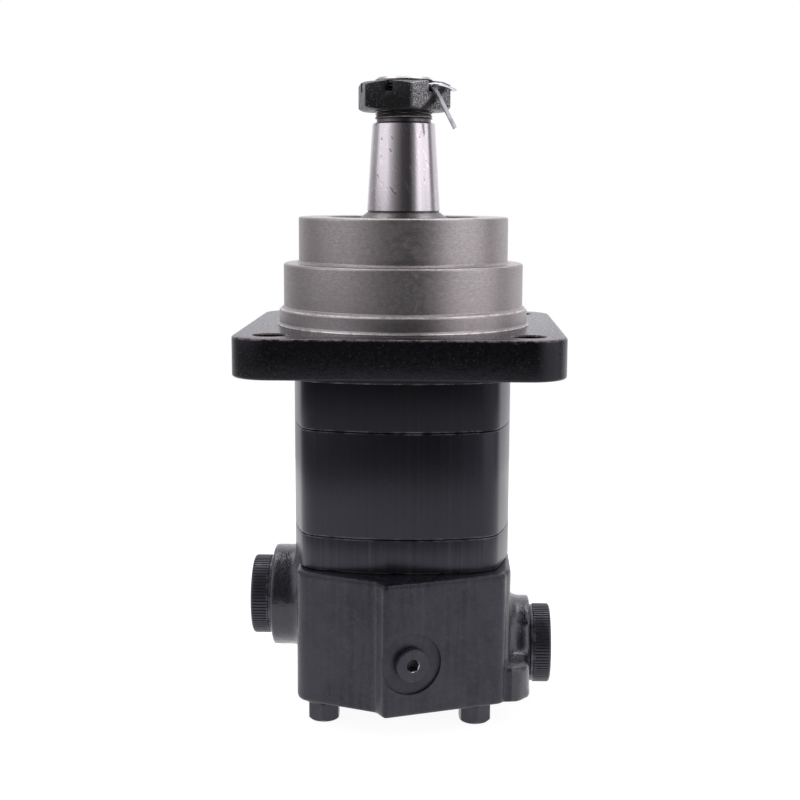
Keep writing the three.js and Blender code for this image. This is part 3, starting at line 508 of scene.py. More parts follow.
def flange_paint():
    """Satin black on the flange: a fine grain, nicks that show grey, and a brown line along the top edge."""
    black = grey(0.003, 1.1)
    tree = Tree("flange_paint", black, 0.26, Specular_IOR_Level=0.38, Specular_Tint=PAINT_TINT)
    specks = tree.spread(tree.noise(1100, 3, 0.75), 0.60, 0.72)
    region = tree.spread(tree.noise(45, 3), 0.42, 0.62)
    nicks = tree.spread(tree.streaks(90, 600, 3, 0.6), 0.70, 0.73)
    wear = tree.maths("MAXIMUM", tree.times(tree.times(specks, region), 0.35), tree.times(nicks, 0.7))
    height = tree.axis("Z")
    below = tree.spread(height, (FLANGE_TOP - 1.0) * MM, (FLANGE_TOP - 0.5) * MM)
    above = tree.spread(height, (FLANGE_TOP - 0.1) * MM, (FLANGE_TOP - 0.03) * MM, 1.0, 0.0)
    edge = tree.times(tree.times(below, tree.spread(tree.noise(420, 4, 0.65), 0.38, 0.58)), above)
    tree.colour(tree.mix(edge, tree.mix(wear, black, (0.085, 0.08, 0.082)), (0.17, 0.12, 0.11)))
    tree.roughness(tree.spread(tree.noise(700, 4, 0.65), 0.35, 0.7, 0.2, 0.36))
    tree.bump(tree.noise(240, 4, 0.6), 0.07)
    tree.bump(tree.noise(1100, 3, 0.7), 0.05)
    tree.bump(tree.spread(tree.cells(420), 0.0, 0.16, 0.0, 1.0), 0.12)
    return tree.material


def turned_steel(name, tone, roughness, grain=1.0, painted_highlight_edges=()):
    """Turned steel: rings of tool marks, a fine sandy grain, faint stains and broken bright painted
    highlights along edges.
    """
    tree = Tree(name, tone, roughness, 1.0)
    rings = tree.streaks(12, 2000, 4, 0.7)
    dashes = tree.streaks(500, 3600, 3, 0.7)
    sand = tree.noise(1500, 3, 0.7)
    grains = tree.maths("ADD", tree.times(dashes, 0.6), tree.times(sand, 0.4))
    stain = tree.spread(tree.noise(30, 3, 0.55, distortion=0.5), 0.4, 0.72)
    spots = tree.spread(tree.cells(120), 0.0, 0.04, 1.0, 0.0)

    def shaded(red, green, blue):
        return (tone[0] * red, tone[1] * green, tone[2] * blue)

    mixed = tree.mix(tree.spread(grains, 0.36, 0.64), shaded(0.6, 0.6, 0.6), shaded(1.2, 1.2, 1.2))
    mixed = tree.mix(tree.times(tree.spread(rings, 0.40, 0.60), 0.5), mixed, shaded(0.82, 0.82, 0.82))
    mixed = tree.mix(tree.times(stain, 0.3), mixed, shaded(1.0, 0.9, 0.84))
    mixed = tree.mix(tree.times(spots, 0.8), mixed, shaded(0.15, 0.15, 0.15))
    blotches = tree.spread(tree.noise(200, 3, 0.7), 0.36, 0.55)
    # bright lines along the given edges are painted highlights
    tree.colour(tree.paint_edge_highlights(mixed, painted_highlight_edges, 0.1, 0.35, blotches, (0.74, 0.72, 0.74)))
    tree.roughness(tree.spread(tree.noise(520, 4), 0.3, 0.7, roughness - 0.05, roughness + 0.06))
    tree.bump(rings, 0.010 * grain)
    tree.bump(grains, 0.012 * grain)
    return tree.material


def ground_steel():
    """Ground taper: near-mirror finish, fine rings, soft upright shading and slanting smears of dried oil,
    with painted glints along their rims.
    """
    tone = (0.64, 0.60, 0.62)
    tree = Tree("ground_steel", tone, 0.17, 1.0)
    rings = tree.streaks(10, 2800, 3, 0.6)
    height = tree.axis("Z")
    around = tree.maths("ARCTAN2", tree.axis("Y"), tree.axis("X"))

    def slanted(lean, across, along, detail, distortion):
        """Noise over the unrolled surface, leaning by so many radians to the metre."""
        node = tree.nodes.new("ShaderNodeCombineXYZ")
        tree.link(tree.times(tree.maths("MULTIPLY_ADD", height, lean, around), across), node.inputs["X"])
        tree.link(tree.times(height, along), node.inputs["Y"])
        return tree.noise(1, detail, 0.6, node.outputs["Vector"], distortion)

    smears = slanted(24.0, 7.0, 170.0, 4, 0.5)
    narrow = tree.spread(smears, 0.62, 0.66)
    # pale line round each smear: a painted glint
    glint_rim = tree.maths("MAXIMUM", tree.maths("SUBTRACT", tree.spread(smears, 0.59, 0.62), narrow), 0.0)
    shadow = tree.spread(slanted(1.5, 3.2, 14.0, 2, 0.4), 0.35, 0.68)
    clean = tree.mix(tree.times(shadow, 0.35), tone, (0.36, 0.33, 0.345))
    oiled = tree.mix(tree.times(narrow, 0.72), clean, (0.27, 0.19, 0.135))
    tree.colour(tree.mix(tree.times(glint_rim, 0.7), oiled, (0.92, 0.88, 0.82)))
    tree.roughness(tree.maths("MULTIPLY_ADD", narrow, 0.2, tree.spread(rings, 0.3, 0.7, 0.13, 0.21)))
    tree.bump(rings, 0.004)
    tree.bump(smears, 0.03)
    return tree.material


def nut_oxide():
    """Black oxide over forged steel: bright specks, and one flat scuffed by a wrench beside a dark smear."""
    black = grey(0.008)
    tree = Tree("nut_oxide", black, 0.36, 0.4, Specular_IOR_Level=0.5)
    specks = tree.spread(tree.noise(1300, 3, 0.75), 0.60, 0.70)
    specks = tree.times(specks, tree.spread(tree.noise(90, 2), 0.4, 0.6))
    x = tree.axis("X")
    across = tree.times(x, cos(PIN_AZIMUTH))
    reach = tree.maths("MULTIPLY_ADD", tree.axis("Y"), sin(PIN_AZIMUTH), across)
    flat = tree.spread(reach, (NUT_FLATS / 2 - 1.2) * MM, (NUT_FLATS / 2 - 0.3) * MM)
    grainy = tree.spread(tree.noise(1900, 3, 0.85), 0.44, 0.60)
    slant = tree.maths("MULTIPLY_ADD", tree.axis("Z"), -0.9, x)
    clear = tree.spread(tree.apart(slant, SMEAR * MM), 1.0 * MM, 2.4 * MM)
    scuffed = tree.times(tree.times(tree.times(flat, grainy), clear), 1.4)
    amount = tree.times(tree.maths("MAXIMUM", specks, scuffed), 0.5)
    tree.colour(tree.mix(amount, black, (0.62, 0.6, 0.62)))
    tree.roughness(tree.spread(tree.noise(600, 4), 0.3, 0.7, 0.26, 0.46))
    tree.bump(tree.noise(700, 4, 0.65), 0.09)
    return tree.material


def hard_steel():
    """Hardened and ground inner pieces under a thin film of oil."""
    tree = Tree("hard_steel", (0.42, 0.42, 0.43), 0.24, 1.0)
    film = tree.spread(tree.noise(60, 3), 0.35, 0.7)
    tree.colour(tree.mix(film, (0.46, 0.46, 0.47), (0.36, 0.35, 0.33)))
    tree.roughness(tree.spread(tree.noise(700, 4), 0.3, 0.7, 0.18, 0.32))
    tree.bump(tree.streaks(30, 2000, 3, 0.6), 0.006)
    return tree.material


def zinc_wire():
    """Bright zinc on drawn wire, with slightly dull patches."""
    tree = Tree("zinc_wire", (0.62, 0.63, 0.65), 0.28, 1.0)
    dull = tree.spread(tree.noise(300, 3), 0.35, 0.7)
    tree.colour(tree.mix(dull, (0.68, 0.69, 0.71), (0.42, 0.42, 0.44)))
    tree.roughness(tree.spread(tree.noise(1500, 3), 0.3, 0.7, 0.2, 0.36))
    tree.bump(tree.noise(2500, 2), 0.01)
    return tree.material


def plug_plastic():
    """Moulded polyethylene: waxy, with flow marks, specks of dust and paler dashes by the ribs' inner ends,
    painted glints.
    """
    tree = Tree("plug_plastic", grey(0.02, 1.2), 0.30, Specular_IOR_Level=0.6, Specular_Tint=PAINT_TINT)
    dust = tree.spread(tree.noise(800, 3, 0.7), 0.62, 0.75)
    flow = tree.spread(tree.noise(70, 3), 0.35, 0.65)
    outward = tree.maths("ABSOLUTE", tree.axis("X"))
    # paler dashes near the seat end of the ribs: painted glints
    ends = tree.spread(outward, (PORT_FACE + 2.1) * MM, (PORT_FACE + 2.6) * MM, 1.0, 0.0)
    ends = tree.times(ends, tree.spread(tree.noise(260, 3, 0.7), 0.45, 0.6))
    tone = tree.mix(flow, grey(0.016, 1.25), grey(0.026, 1.2))
    tone = tree.mix(tree.times(ends, 0.5), tone, (0.22, 0.22, 0.23))
    tree.colour(tree.mix(tree.times(dust, 0.5), tone, (0.14, 0.14, 0.145)))
    tree.roughness(tree.spread(tree.noise(400, 3), 0.3, 0.7, 0.26, 0.4))
    tree.bump(tree.noise(520, 4), 0.03)
    return tree.material


def rubber():
    """Moulded nitrile rubber with a light bloom."""
    tree = Tree("rubber", (0.02, 0.02, 0.021), 0.7)
    bloom = tree.spread(tree.noise(180, 4), 0.4, 0.7)
    tree.colour(tree.mix(bloom, (0.016, 0.016, 0.017), (0.034, 0.034, 0.036)))
    tree.roughness(tree.spread(bloom, 0.0, 1.0, 0.62, 0.8))
    tree.bump(tree.noise(1400, 3), 0.015)
    return tree.material


# The housing's enamel is darker than the ring's and the plate's: painted shade under the flange.
SHADED_HOUSING_PAINT = machined_paint(
    "shaded_housing_paint", 0.0035, 0.27, lines=0.35, patch=0.4, gloss=0.24,
    edges=(HOUSING_BOTTOM + 0.3, NECK_BOTTOM + 0.3),
)
RING_PAINT = machined_paint(
    "ring_paint", 0.0065, 0.28, lines=0.4, patch=0.6, gloss=0.42, edges=(RING_BOTTOM + 0.3, RING_TOP - 0.3),
)
PLATE_PAINT = machined_paint(
    "plate_paint", 0.010, 0.30, lines=1.0, patch=0.3, gloss=0.5, edges=(PLATE_BOTTOM + 0.3, PLATE_TOP - 0.3),
)
CASTING_PAINT = cast_paint("casting_paint", 0.011, 0.34, gloss=0.45)
BOSS_PAINT = cast_paint("boss_paint", 0.006, 0.25, coat=0.6, grain=0.24, sag=0.0)
BOLT_PAINT = cast_paint("bolt_paint", 0.02, 0.34, dusty=0.3)
FLANGE_PAINT = flange_paint()
# painted highlight lines at the shoulder's foot and along the shoulder's top edge
PILOT_STEEL = turned_steel(
    "pilot_steel", (0.42, 0.39, 0.385), 0.38, 1.4, painted_highlight_edges=(FLANGE_TOP + 0.5, SHOULDER_TOP + 0.2),
)
GROUND_STEEL = ground_steel()
END_STEEL = turned_steel("end_steel", (0.50, 0.48, 0.48), 0.30)
# Darker steel for the thread and below the taper: oil, with painted shade in the thread's grooves.
SHADED_THREAD_STEEL = turned_steel("shaded_thread_steel", (0.17, 0.16, 0.16), 0.34)
NUT_OXIDE = nut_oxide()
PLUG_PAINT = cast_paint("plug_paint", 0.012, 0.32, grain=0.03, gloss=0.45)
HARD_STEEL = hard_steel()
ZINC = zinc_wire()
PLASTIC = plug_plastic()
RUBBER = rubber()

# ---------------- body sections


def chamfered_hole(radius, bottom, top):
    """Cutter for a through hole with a small chamfer at both mouths."""
    chamfer = 0.5
    return lathe("hole", [
        (0, bottom - 1), (radius + chamfer + 1, bottom - 1), (radius, bottom + chamfer),
        (radius, top - chamfer), (radius + chamfer + 1, top + 1), (0, top + 1),
    ], SMALL)


def bearing_housing():
    lower = bevel(prism("lower", body_outline(), HOUSING_BOTTOM, NECK_BOTTOM + 2), 0.3)
    neck = bevel(prism("neck", body_outline(NECK_STEP), NECK_BOTTOM, FLANGE_BOTTOM + 3), 0.5)
    flange_plan = rounded([(x, y, FLANGE_CORNER) for x, y in corners_of(FLANGE_HALF)], 5)
    flange = bevel(prism("flange", flange_plan, FLANGE_BOTTOM, FLANGE_TOP), 1.0, segments=4)
    root = SHOULDER_RADIUS + 0.8
    pilot = lathe("pilot", rounded([
        (0, FLANGE_TOP - 4, 0), (root, FLANGE_TOP - 4, 0), (root, FLANGE_TOP + 0.4, 0.3),
        (SHOULDER_RADIUS, FLANGE_TOP + 1.4, 0.3), (SHOULDER_RADIUS, SHOULDER_TOP - 0.3, 0.5),
        (LOWER_PILOT, SHOULDER_TOP + 1.3, 0.5), (LOWER_PILOT, LOWER_PILOT_TOP, 1.2),
        (UPPER_PILOT + 0.9, LOWER_PILOT_TOP, 0.2), (UPPER_PILOT, LOWER_PILOT_TOP + 1.0, 0.6),
        (UPPER_PILOT, UPPER_PILOT_TOP, 1.1), (0, UPPER_PILOT_TOP, 0),
    ], 15), 256)
    chamber, chamber_top, middle = 37.5, 134.2, 30
    rear, rear_top = 35.3, high("rear_bearing_cup").z + GAP
    front, front_bottom = 32.8, low("front_bearing_cup").z - GAP
    groove, groove_bottom, groove_top = front + 1.8, 211.2, 212.8
    bore = lathe("bore", [
        (0, HOUSING_BOTTOM - 1), (chamber, HOUSING_BOTTOM - 1), (chamber, chamber_top), (rear, chamber_top),
        (rear, rear_top), (middle, rear_top), (middle, front_bottom), (front, front_bottom),
        (front, groove_bottom), (groove, groove_bottom), (groove, groove_top), (front, groove_top),
        (front, UPPER_PILOT_TOP - 0.5), (front + 1.5, UPPER_PILOT_TOP + 1), (0, UPPER_PILOT_TOP + 1),
    ])
    holes = at_corners(FLANGE_HOLE_REACH, lambda: chamfered_hole(FLANGE_HOLE, FLANGE_BOTTOM, FLANGE_TOP))
    threads = at_corners(BOLT_REACH, lambda: rod("thread", BOLT_HOLE, HOUSING_BOTTOM - 1, BOLT_THREAD_END))
    housing = join(lower, neck, flange, pilot)
    cut(housing, bore, face_groove(HOUSING_BOTTOM, -1), *holes, *threads)
    place(housing, "bearing_housing", "housing", "black_paint", SHADED_HOUSING_PAINT, FLANGE_PAINT, PILOT_STEEL)
    choose_materials(housing, lambda x, y, z: (z > FLANGE_BOTTOM - 0.2) + (z > FLANGE_TOP + 0.05))


def geroler_ring():
    ring = bevel(prism("ring", body_outline(), RING_BOTTOM, RING_TOP), 0.3)
    pocket = ROLLER_RADIUS + GAP
    half_mouth = acos(
        (RING_BORE**2 + ROLLER_CIRCLE**2 - pocket**2) / (2 * RING_BORE * ROLLER_CIRCLE)
    )
    pitch = 2 * pi / ROLLERS
    outline = []
    for i in range(ROLLERS):
        middle = i * pitch
        centre = circle_point(ROLLER_CIRCLE, middle)
        edge = circle_point(RING_BORE, middle - half_mouth) - centre
        start = atan2(edge.y, edge.x) - middle
        start = (start + pi) % (2 * pi) - pi
        outline += arc(centre, pocket, middle + start, middle - start, 8)
        outline += arc((0, 0), RING_BORE, middle + half_mouth, middle + pitch - half_mouth, 8)[1:-1]
    cut(ring, prism("bore", outline, RING_BOTTOM - 1, RING_TOP + 1))
    cut(ring, *at_corners(BOLT_REACH, lambda: chamfered_hole(BOLT_HOLE, RING_BOTTOM, RING_TOP)))
    place(ring, "geroler_ring", "housing", "black_paint", RING_PAINT)


def valve_plate():
    plate = bevel(prism("plate", body_outline(), PLATE_BOTTOM, PLATE_TOP), 0.35)
    slot_outer, slot_inner, slot_half, link_hole = 26.5, 21.5, 2.4, 13.4
    pitch, quarter = 2 * pi / ROLLERS, pi / 2
    for i in range(ROLLERS):
        angle = (i + 0.5) * pitch
        outline = arc(circle_point(slot_outer, angle), slot_half, angle - quarter, angle + quarter, 15)
        outline += arc(circle_point(slot_inner, angle), slot_half, angle + quarter, angle + 3 * quarter, 15)
        cut(plate, prism("slot", outline, PLATE_BOTTOM - 1, PLATE_TOP + 1))
    cut(plate, chamfered_hole(link_hole, PLATE_BOTTOM, PLATE_TOP), face_groove(PLATE_TOP, 1))
    cut(plate, *at_corners(BOLT_REACH, lambda: chamfered_hole(BOLT_HOLE, PLATE_BOTTOM, PLATE_TOP)))
    place(plate, "valve_plate", "housing", "black_paint", PLATE_PAINT)


# Stands a piece drawn along Z, outwards, on the drain port of the front facet.
DRAIN_PORT = Matrix.Translation(DRAIN_CENTRE) @ Matrix.Rotation(DRAIN_ANGLE, 4, "Z")
DRAIN_PORT = DRAIN_PORT @ Matrix.Rotation(pi / 2, 4, "X")


def along_x(obj, port):
    """Turns a piece drawn along Z to point outwards at a side port."""
    turn = Matrix.Rotation(port["side"] * pi / 2, 4, "Y")
    return moved(obj, Matrix.Translation((0, 0, port["height"])) @ turn)


def port_boss(port):
    """Round boss along X whose root flares out into the casting's side."""
    side, radius = port["side"], port["boss"]
    wall = abs(CASTING_RIGHT if side > 0 else CASTING_LEFT)
    flare = 5.0
    boss = along_x(lathe("boss", rounded([
        (0, 20, 0), (radius + flare, 20, 0), (radius + flare, wall - 1, 0), (radius + flare, wall, 0),
        (radius, wall, flare), (radius, PORT_FACE, 1.0), (0, PORT_FACE, 0),
    ]), 96), port)
    limits = cuboid("limits", 80, 86, CASTING_TOP - CASTING_BOTTOM)
    shifted(limits, side * 45, 0, (CASTING_TOP + CASTING_BOTTOM) / 2)
    return boolean(boss, limits, "INTERSECT")


def bolt_boss():
    """Low round boss under the casting, where a tie bolt's head sits."""
    return lathe("bolt_boss", rounded([
        (0, 8.3, 0), (8.6, 8.3, 0.8), (9.2, 10.5, 0), (11.0, CASTING_BOTTOM + 0.6, 0), (11.0, 14, 0),
        (0, 14, 0),
    ]), SMALL)


def valve_housing():
    casting, ridge = [
        bevel(prism("casting", rounded(plan), CASTING_BOTTOM, CASTING_TOP), 1.4, angle=60)
        for plan in (CASTING_PLAN, RIDGE_PLAN)
    ]
    foot = bevel(prism("foot", rounded(FOOT_PLAN), CASTING_BOTTOM - 6, FOOT_TOP), 4.5, angle=60, segments=6)
    boolean(foot, shifted(cuboid("above", 200, 200, 100), 0, 0, CASTING_BOTTOM + 50), "INTERSECT")
    bolt_bosses = at_corners(BOLT_REACH, bolt_boss)
    join(casting, ridge, foot, port_boss(LEFT_PORT), port_boss(RIGHT_PORT), *bolt_bosses)
    modify(casting, "REMESH", mode="VOXEL", voxel_size=0.7)
    modify(casting, "SMOOTH", factor=0.5, iterations=6)
    height = RIGHT_PORT["height"]  # the foot's ledge and the root of the boss above it
    soften(casting, lambda x, y, z: x > 48.5 and 13.4 < z < 38 and hypot(y, z - height) > 18.4, 50)
    ring_bore, ring_floor, valve_bore, valve_floor = 24.7, 34.5, 33, 41.5
    chamber = lathe("chamber", [
        (0, ring_floor), (ring_bore, ring_floor), (ring_bore, valve_floor), (valve_bore, valve_floor),
        (valve_bore, CASTING_TOP + 1), (0, CASTING_TOP + 1),
    ])
    cut(casting, chamber, face_groove(CASTING_TOP, 1))
    for port in (LEFT_PORT, RIGHT_PORT):
        cut(casting, along_x(rod("thread", PORT_THREAD, PORT_THREAD_END, PORT_FACE + 1), port))
        cut(casting, along_x(rod("passage", port["passage"], port["passage_end"], PORT_THREAD_END + 1), port))
    cut(casting, rod("passage", 10, RIGHT_PORT["height"], ring_floor + 1))
    thread, seal_seat, spot, floor_at = 4.9, 5.4, DRAIN_SPOT, -DRAIN_SPOT_DEPTH
    drain = lathe("drain", rounded([
        (0, -12, 0), (thread, -12, 0), (thread, floor_at - 0.5, 0), (seal_seat, floor_at, 0),
        (spot, floor_at, 0.3), (spot, -0.15, 0), (spot + 4, 4.0, 0), (0, 4.0, 0),
    ]), 120)
    cut(casting, moved(drain, DRAIN_PORT), moved(rod("bleed", 3, -36, -11), DRAIN_PORT))
    for angle in (45, 225):
        spring_pocket = rod("pocket", 2.9, 36.5, 42.5)
        cut(casting, shifted(spring_pocket, *circle_point(28.6, radians(angle)), 0))
    cut(casting, *at_corners(BOLT_REACH, lambda: rod("hole", BOLT_HOLE, 0, CASTING_TOP + 1)))
    place(casting, "valve_housing", "housing", "cast_paint", CASTING_PAINT, BOSS_PAINT, angle=38)
    choose_materials(casting, lambda x, y, z: x > CASTING_RIGHT + 0.8 or x < CASTING_LEFT - 1.0)


# ---------------- fasteners and plugs


def hex_head(flats, bottom, top, azimuth, chamfer_low, chamfer_high, edge=0.25):
    """Hexagon with its ends chamfered by a cone, as a bolt head or a nut is."""
    inscribed, corner = flats / 2 * 0.97, flats / sqrt(3) + 0.05
    envelope = lathe("envelope", [
        (0, bottom), (inscribed, bottom), (corner, bottom + chamfer_low), (corner, top - chamfer_high),
        (inscribed, top), (0, top),
    ], 96)
    head = bevel(prism("head", hexagon(flats, azimuth), bottom - 1, top + 1), edge, segments=2)
    return boolean(head, envelope, "INTERSECT")


def tie_bolts():
    for i, (x, y) in enumerate(corners_of(BOLT_REACH), 1):
        node = f"tie_bolt_{i}"
        top = high(node).z
        head = hex_head(BOLT_FLATS, 0, 8, radians(30 if i % 2 else 38), 1.2, 0.2)
        dish = lathe("dish", [(0, -1), (3.6, -1), (3.2, 0.35), (0, 0.35)], SMALL)
        shank = lathe("shank", rounded([
            (0, 7, 0), (BOLT_SHANK, 7, 0), (BOLT_SHANK, top, 0.6), (0, top, 0),
        ]), 48)
        place(shifted(join(cut(head, dish), shank), x, y, 0), node, "housing", "black_paint", BOLT_PAINT)


def port_plug(node, port):
    """Plastic plug: a head with fine axial ribs round it, a dished end and a threaded stem."""
    ribs, steps_per_rib, rib_depth = 78, 8, 0.42
    seat, end, radius = PORT_FACE + GAP, 66.5, 17.5
    stem_end, stem = 45.0, 10.7
    dish, dish_floor = 13.0, end - 1.5
    ribbed = [(radius, seat + 1.5), (radius, seat + 3.4), (radius, end - 3.0), (radius, end - 1.1)]
    profile = [
        (0, stem_end), (stem - 0.8, stem_end), (stem - 0.2, stem_end + 0.8), (stem - 0.2, seat - 1.0),
        (stem - 0.5, seat), (radius - 0.9, seat), (radius - 0.5, seat + 0.15), (radius - 0.5, seat + 1.15),
        (radius - 0.35, seat + 1.3), *ribbed, (radius - 0.12, end - 0.65), (radius - 0.45, end - 0.22),
        (radius - 0.95, end), (dish + 0.6, end), (dish + 0.2, end - 0.2), (dish, end - 1.3),
        (dish - 0.4, dish_floor), (5.2, dish_floor), (4.9, end - 1.9), (0, end - 1.9),
    ]

    def rib(k):
        return rib_depth * max(0.0, -cos(2 * pi * k / steps_per_rib)) ** 0.6

    bm = bmesh.new()
    plug = skin("plug", bm, [
        ring_at(bm, *point, ribs * steps_per_rib, rib if point in ribbed else None) for point in profile
    ])
    place(along_x(plug, port), node, "housing", "plug_plastic", PLASTIC, angle=40)


def drain_plug():
    seat = GAP - DRAIN_SPOT_DEPTH
    head, top, thread, neck = 7.0, seat + 3.1, 4.5, 3.5
    plug = lathe("plug", rounded([
        (0, seat - 10, 0), (3.9, seat - 10, 0), (thread, seat - 9.3, 0), (thread, seat - 2.4, 0),
        (neck, seat - 2.4, 0), (neck, seat, 0), (head, seat, 0.2), (head, top, 0.55), (0, top, 0),
    ], 12), 96)
    socket = prism("socket", hexagon(4.8, radians(12)), top - 4.2, top + 1)
    lead = lathe("lead", [(0, top - 0.5), (2.35, top - 0.5), (3.3, top + 0.6), (0, top + 0.6)], SMALL)
    moved(cut(plug, socket, lead), DRAIN_PORT)
    place(plug, "drain_plug", "housing", "black_oxide", PLUG_PAINT, HARD_STEEL)
    to_port = DRAIN_PORT.inverted()

    def in_socket(x, y, z):
        centre = to_port @ Vector((x, y, z))
        return centre.xy.length < 2.9 and centre.z > top - 3.9

    choose_materials(plug, in_socket)


# ---------------- shaft group


def thread_band(bottom, top, radius, pitch, depth):
    """Solid rod whose surface is a helical thread, faded out at both ends."""
    sides, rows_per_pitch = 96, 8
    count = round((top - bottom) / pitch * rows_per_pitch)
    bm = bmesh.new()
    rings = []
    for i in range(count + 1):
        height = bottom + (top - bottom) * i / count
        fade = min(1.0, (height - bottom) / pitch, (top - height) / pitch)

        def groove(k):
            phase = (height / pitch - k / sides) % 1.0
            return depth * fade * min(1.0, max(0.0, (1 - abs(2 * phase - 1)) * 1.25 - 0.12))

        rings.append(ring_at(bm, radius, height, sides, groove))
    return skin("thread", bm, rings, caps=True)


def spline_outline():
    """Section of the bore that the main drive link's crowned splines run in."""
    teeth, inner, outer, inner_share, outer_share = 12, 10.9, 12.9, 0.7, 0.47
    flank = [(inner, -inner_share), (outer, -outer_share), (outer, outer_share), (inner, inner_share)]
    return [
        circle_point(radius, (tooth + share / 2) * 2 * pi / teeth)
        for tooth in range(teeth) for radius, share in flank
    ]


def on_key_seat(obj):
    """Lays a piece on the taper's far side, along the middle of the key."""
    surface = TAPER_LARGE - (KEY_MIDDLE - TAPER_BOTTOM) * TAPER_SLOPE
    lean = Matrix.Rotation(atan(TAPER_SLOPE), 4, "X")
    return moved(obj, Matrix.Translation((0, surface, KEY_MIDDLE)) @ lean)


def key_block(grow=0.0):
    return cuboid("key", KEY_WIDTH + 2 * grow, KEY_WIDTH + 2 * grow, KEY_LENGTH + 2 * grow)


def output_shaft():
    cone_bottom, cone_front = low("rear_bearing_cone").z - GAP, low("front_bearing_cone").z
    hub, collar, rear_seat, middle = 19.3, 27.0, 22.6, 21.6
    hub_top, rear_seat_top = 143.8, 167.4
    lock_groove, lock_bottom, lock_top = 17.8, 202.7, 204.3
    relief, relief_top, tip_radius = TAPER_LARGE - 0.3, TAPER_TOP + 2.4, 11.6
    shaft = lathe("shaft", rounded([
        (0, SHAFT_BOTTOM, 0), (hub, SHAFT_BOTTOM, 0.5), (hub, hub_top, 0.4), (collar, hub_top, 0.4),
        (collar, cone_bottom, 0.3), (rear_seat, cone_bottom, 0.3), (rear_seat, rear_seat_top, 0.4),
        (middle, rear_seat_top + 1, 0), (middle, cone_front - 1.1, 0.3), (JOURNAL, cone_front - 0.9, 0.2),
        (JOURNAL, lock_bottom, 0), (lock_groove, lock_bottom, 0), (lock_groove, lock_top, 0),
        (JOURNAL, lock_top, 0), (JOURNAL, 214.6, 0.8), (17.6, 215.6, 2.0),
        (TAPER_LARGE + 0.1, TAPER_BOTTOM - 1.0, 0.4), (relief, TAPER_BOTTOM - 0.9, 0),
        (relief, TAPER_BOTTOM - 0.3, 0), (TAPER_LARGE + 0.02, TAPER_BOTTOM - 0.2, 0),
        (TAPER_SMALL, TAPER_TOP, 0.45), (tip_radius + 0.1, TAPER_TOP + 0.45, 0.3),
        (tip_radius, relief_top, 0.3), (tip_radius, relief_top + 1, 0), (tip_radius, SHAFT_END, 0.8),
        (0, SHAFT_END, 0),
    ], 12), 192)
    thread = thread_band(relief_top - 0.5, SHAFT_END - 0.9, THREAD, THREAD_PITCH, 0.72)
    tip = lathe("tip", [
        (0, SHAFT_END - 3), (11.5, SHAFT_END - 3), (11.5, SHAFT_END - 0.95),
        (THREAD - 0.25, SHAFT_END - 0.95), (THREAD - 1.2, SHAFT_END), (0, SHAFT_END),
    ], 96)
    join(shaft, thread, tip)
    spline_bore = prism("spline", spline_outline(), SHAFT_BOTTOM - 1, 160.2)
    bore_end = rod("bore_end", 12.2, 160.0, 164.3)
    drill = lathe("drill", [
        (0, 268.5), (1.0, 269.2), (1.0, 271.0), (2.35, SHAFT_END - 0.8), (3.6, SHAFT_END + 0.5),
        (0, SHAFT_END + 0.5),
    ], 48)
    pin_hole = rod("pin_hole", 2.0, -20, 20, 32)
    moved(pin_hole, Matrix.Translation((0, 0, PIN_HEIGHT)) @ Matrix.Rotation(PIN_AZIMUTH, 4, "Z")
          @ Matrix.Rotation(pi / 2, 4, "Y"))
    cut(shaft, spline_bore, bore_end, drill, pin_hole, on_key_seat(key_block(GAP)))
    place(shaft, "output_shaft", "shaft", "ground_steel", GROUND_STEEL, SHADED_THREAD_STEEL, END_STEEL, angle=30)

    def finish_at(x, y, z):
        if z > SHAFT_END - 2.0:
            return 2
        # the thread and the journal below the taper take the darker steel with its painted shade
        return z > TAPER_TOP + 0.3 or 200 < z < TAPER_BOTTOM - 0.4

    choose_materials(shaft, finish_at)


def shaft_key():
    key = on_key_seat(bevel(key_block(), 0.5))
    place(key, "shaft_key", "shaft", "hard_steel", HARD_STEEL)


def shaft_nut():
    nut = hex_head(NUT_FLATS, NUT_BOTTOM, NUT_TOP, NUT_CORNER_AZIMUTH, 1.6, 1.6, 0.35)
    hole, mouth = THREAD + GAP, THREAD + 2.0
    cut(nut, lathe("hole", [
        (0, NUT_BOTTOM - 1), (mouth, NUT_BOTTOM - 1), (hole, NUT_BOTTOM + 0.8), (hole, NUT_TOP - 0.8),
        (mouth, NUT_TOP + 1), (0, NUT_TOP + 1),
    ], 96))
    for i in range(3):
        slot = bevel(cuboid("slot", 60, NUT_SLOT_WIDTH, 2 * NUT_SLOT_DEPTH), 0.3, segments=2)
        shifted(slot, 0, 0, NUT_TOP)
        cut(nut, moved(slot, Matrix.Rotation(PIN_AZIMUTH + i * pi / 3, 4, "Z")))
    bevel(nut, 0.22, angle=50, segments=2)
    place(nut, "shaft_nut", "shaft", "black_oxide", NUT_OXIDE)


def smooth_path(points, per_span):
    """Catmull-Rom curve through the points."""
    padded = [points[0] * 2 - points[1], *points, points[-1] * 2 - points[-2]]
    path = []
    for a, b, c, d in zip(padded, padded[1:], padded[2:], padded[3:]):
        for i in range(per_span):
            t = i / per_span
            square, cube = 2 * a - 5 * b + 4 * c - d, 3 * b - a - 3 * c + d
            path.append(0.5 * (2 * b + (c - a) * t + square * t**2 + cube * t**3))
    path.append(points[-1])
    return path


def swept(name, path, section, first_normal):
    """Sweeps a closed section of (across, up) points along a path without twisting it."""
    bm = bmesh.new()
    normal = first_normal.normalized()
    rings = []
    for i, point in enumerate(path):
        ahead, behind = path[min(i + 1, len(path) - 1)], path[max(i - 1, 0)]
        tangent = (ahead - behind).normalized()
        normal = (normal - tangent * normal.dot(tangent)).normalized()
        across = tangent.cross(normal)
        rings.append([bm.verts.new(point + across * u + normal * v) for u, v in section])
    return skin(name, bm, rings, caps=True)


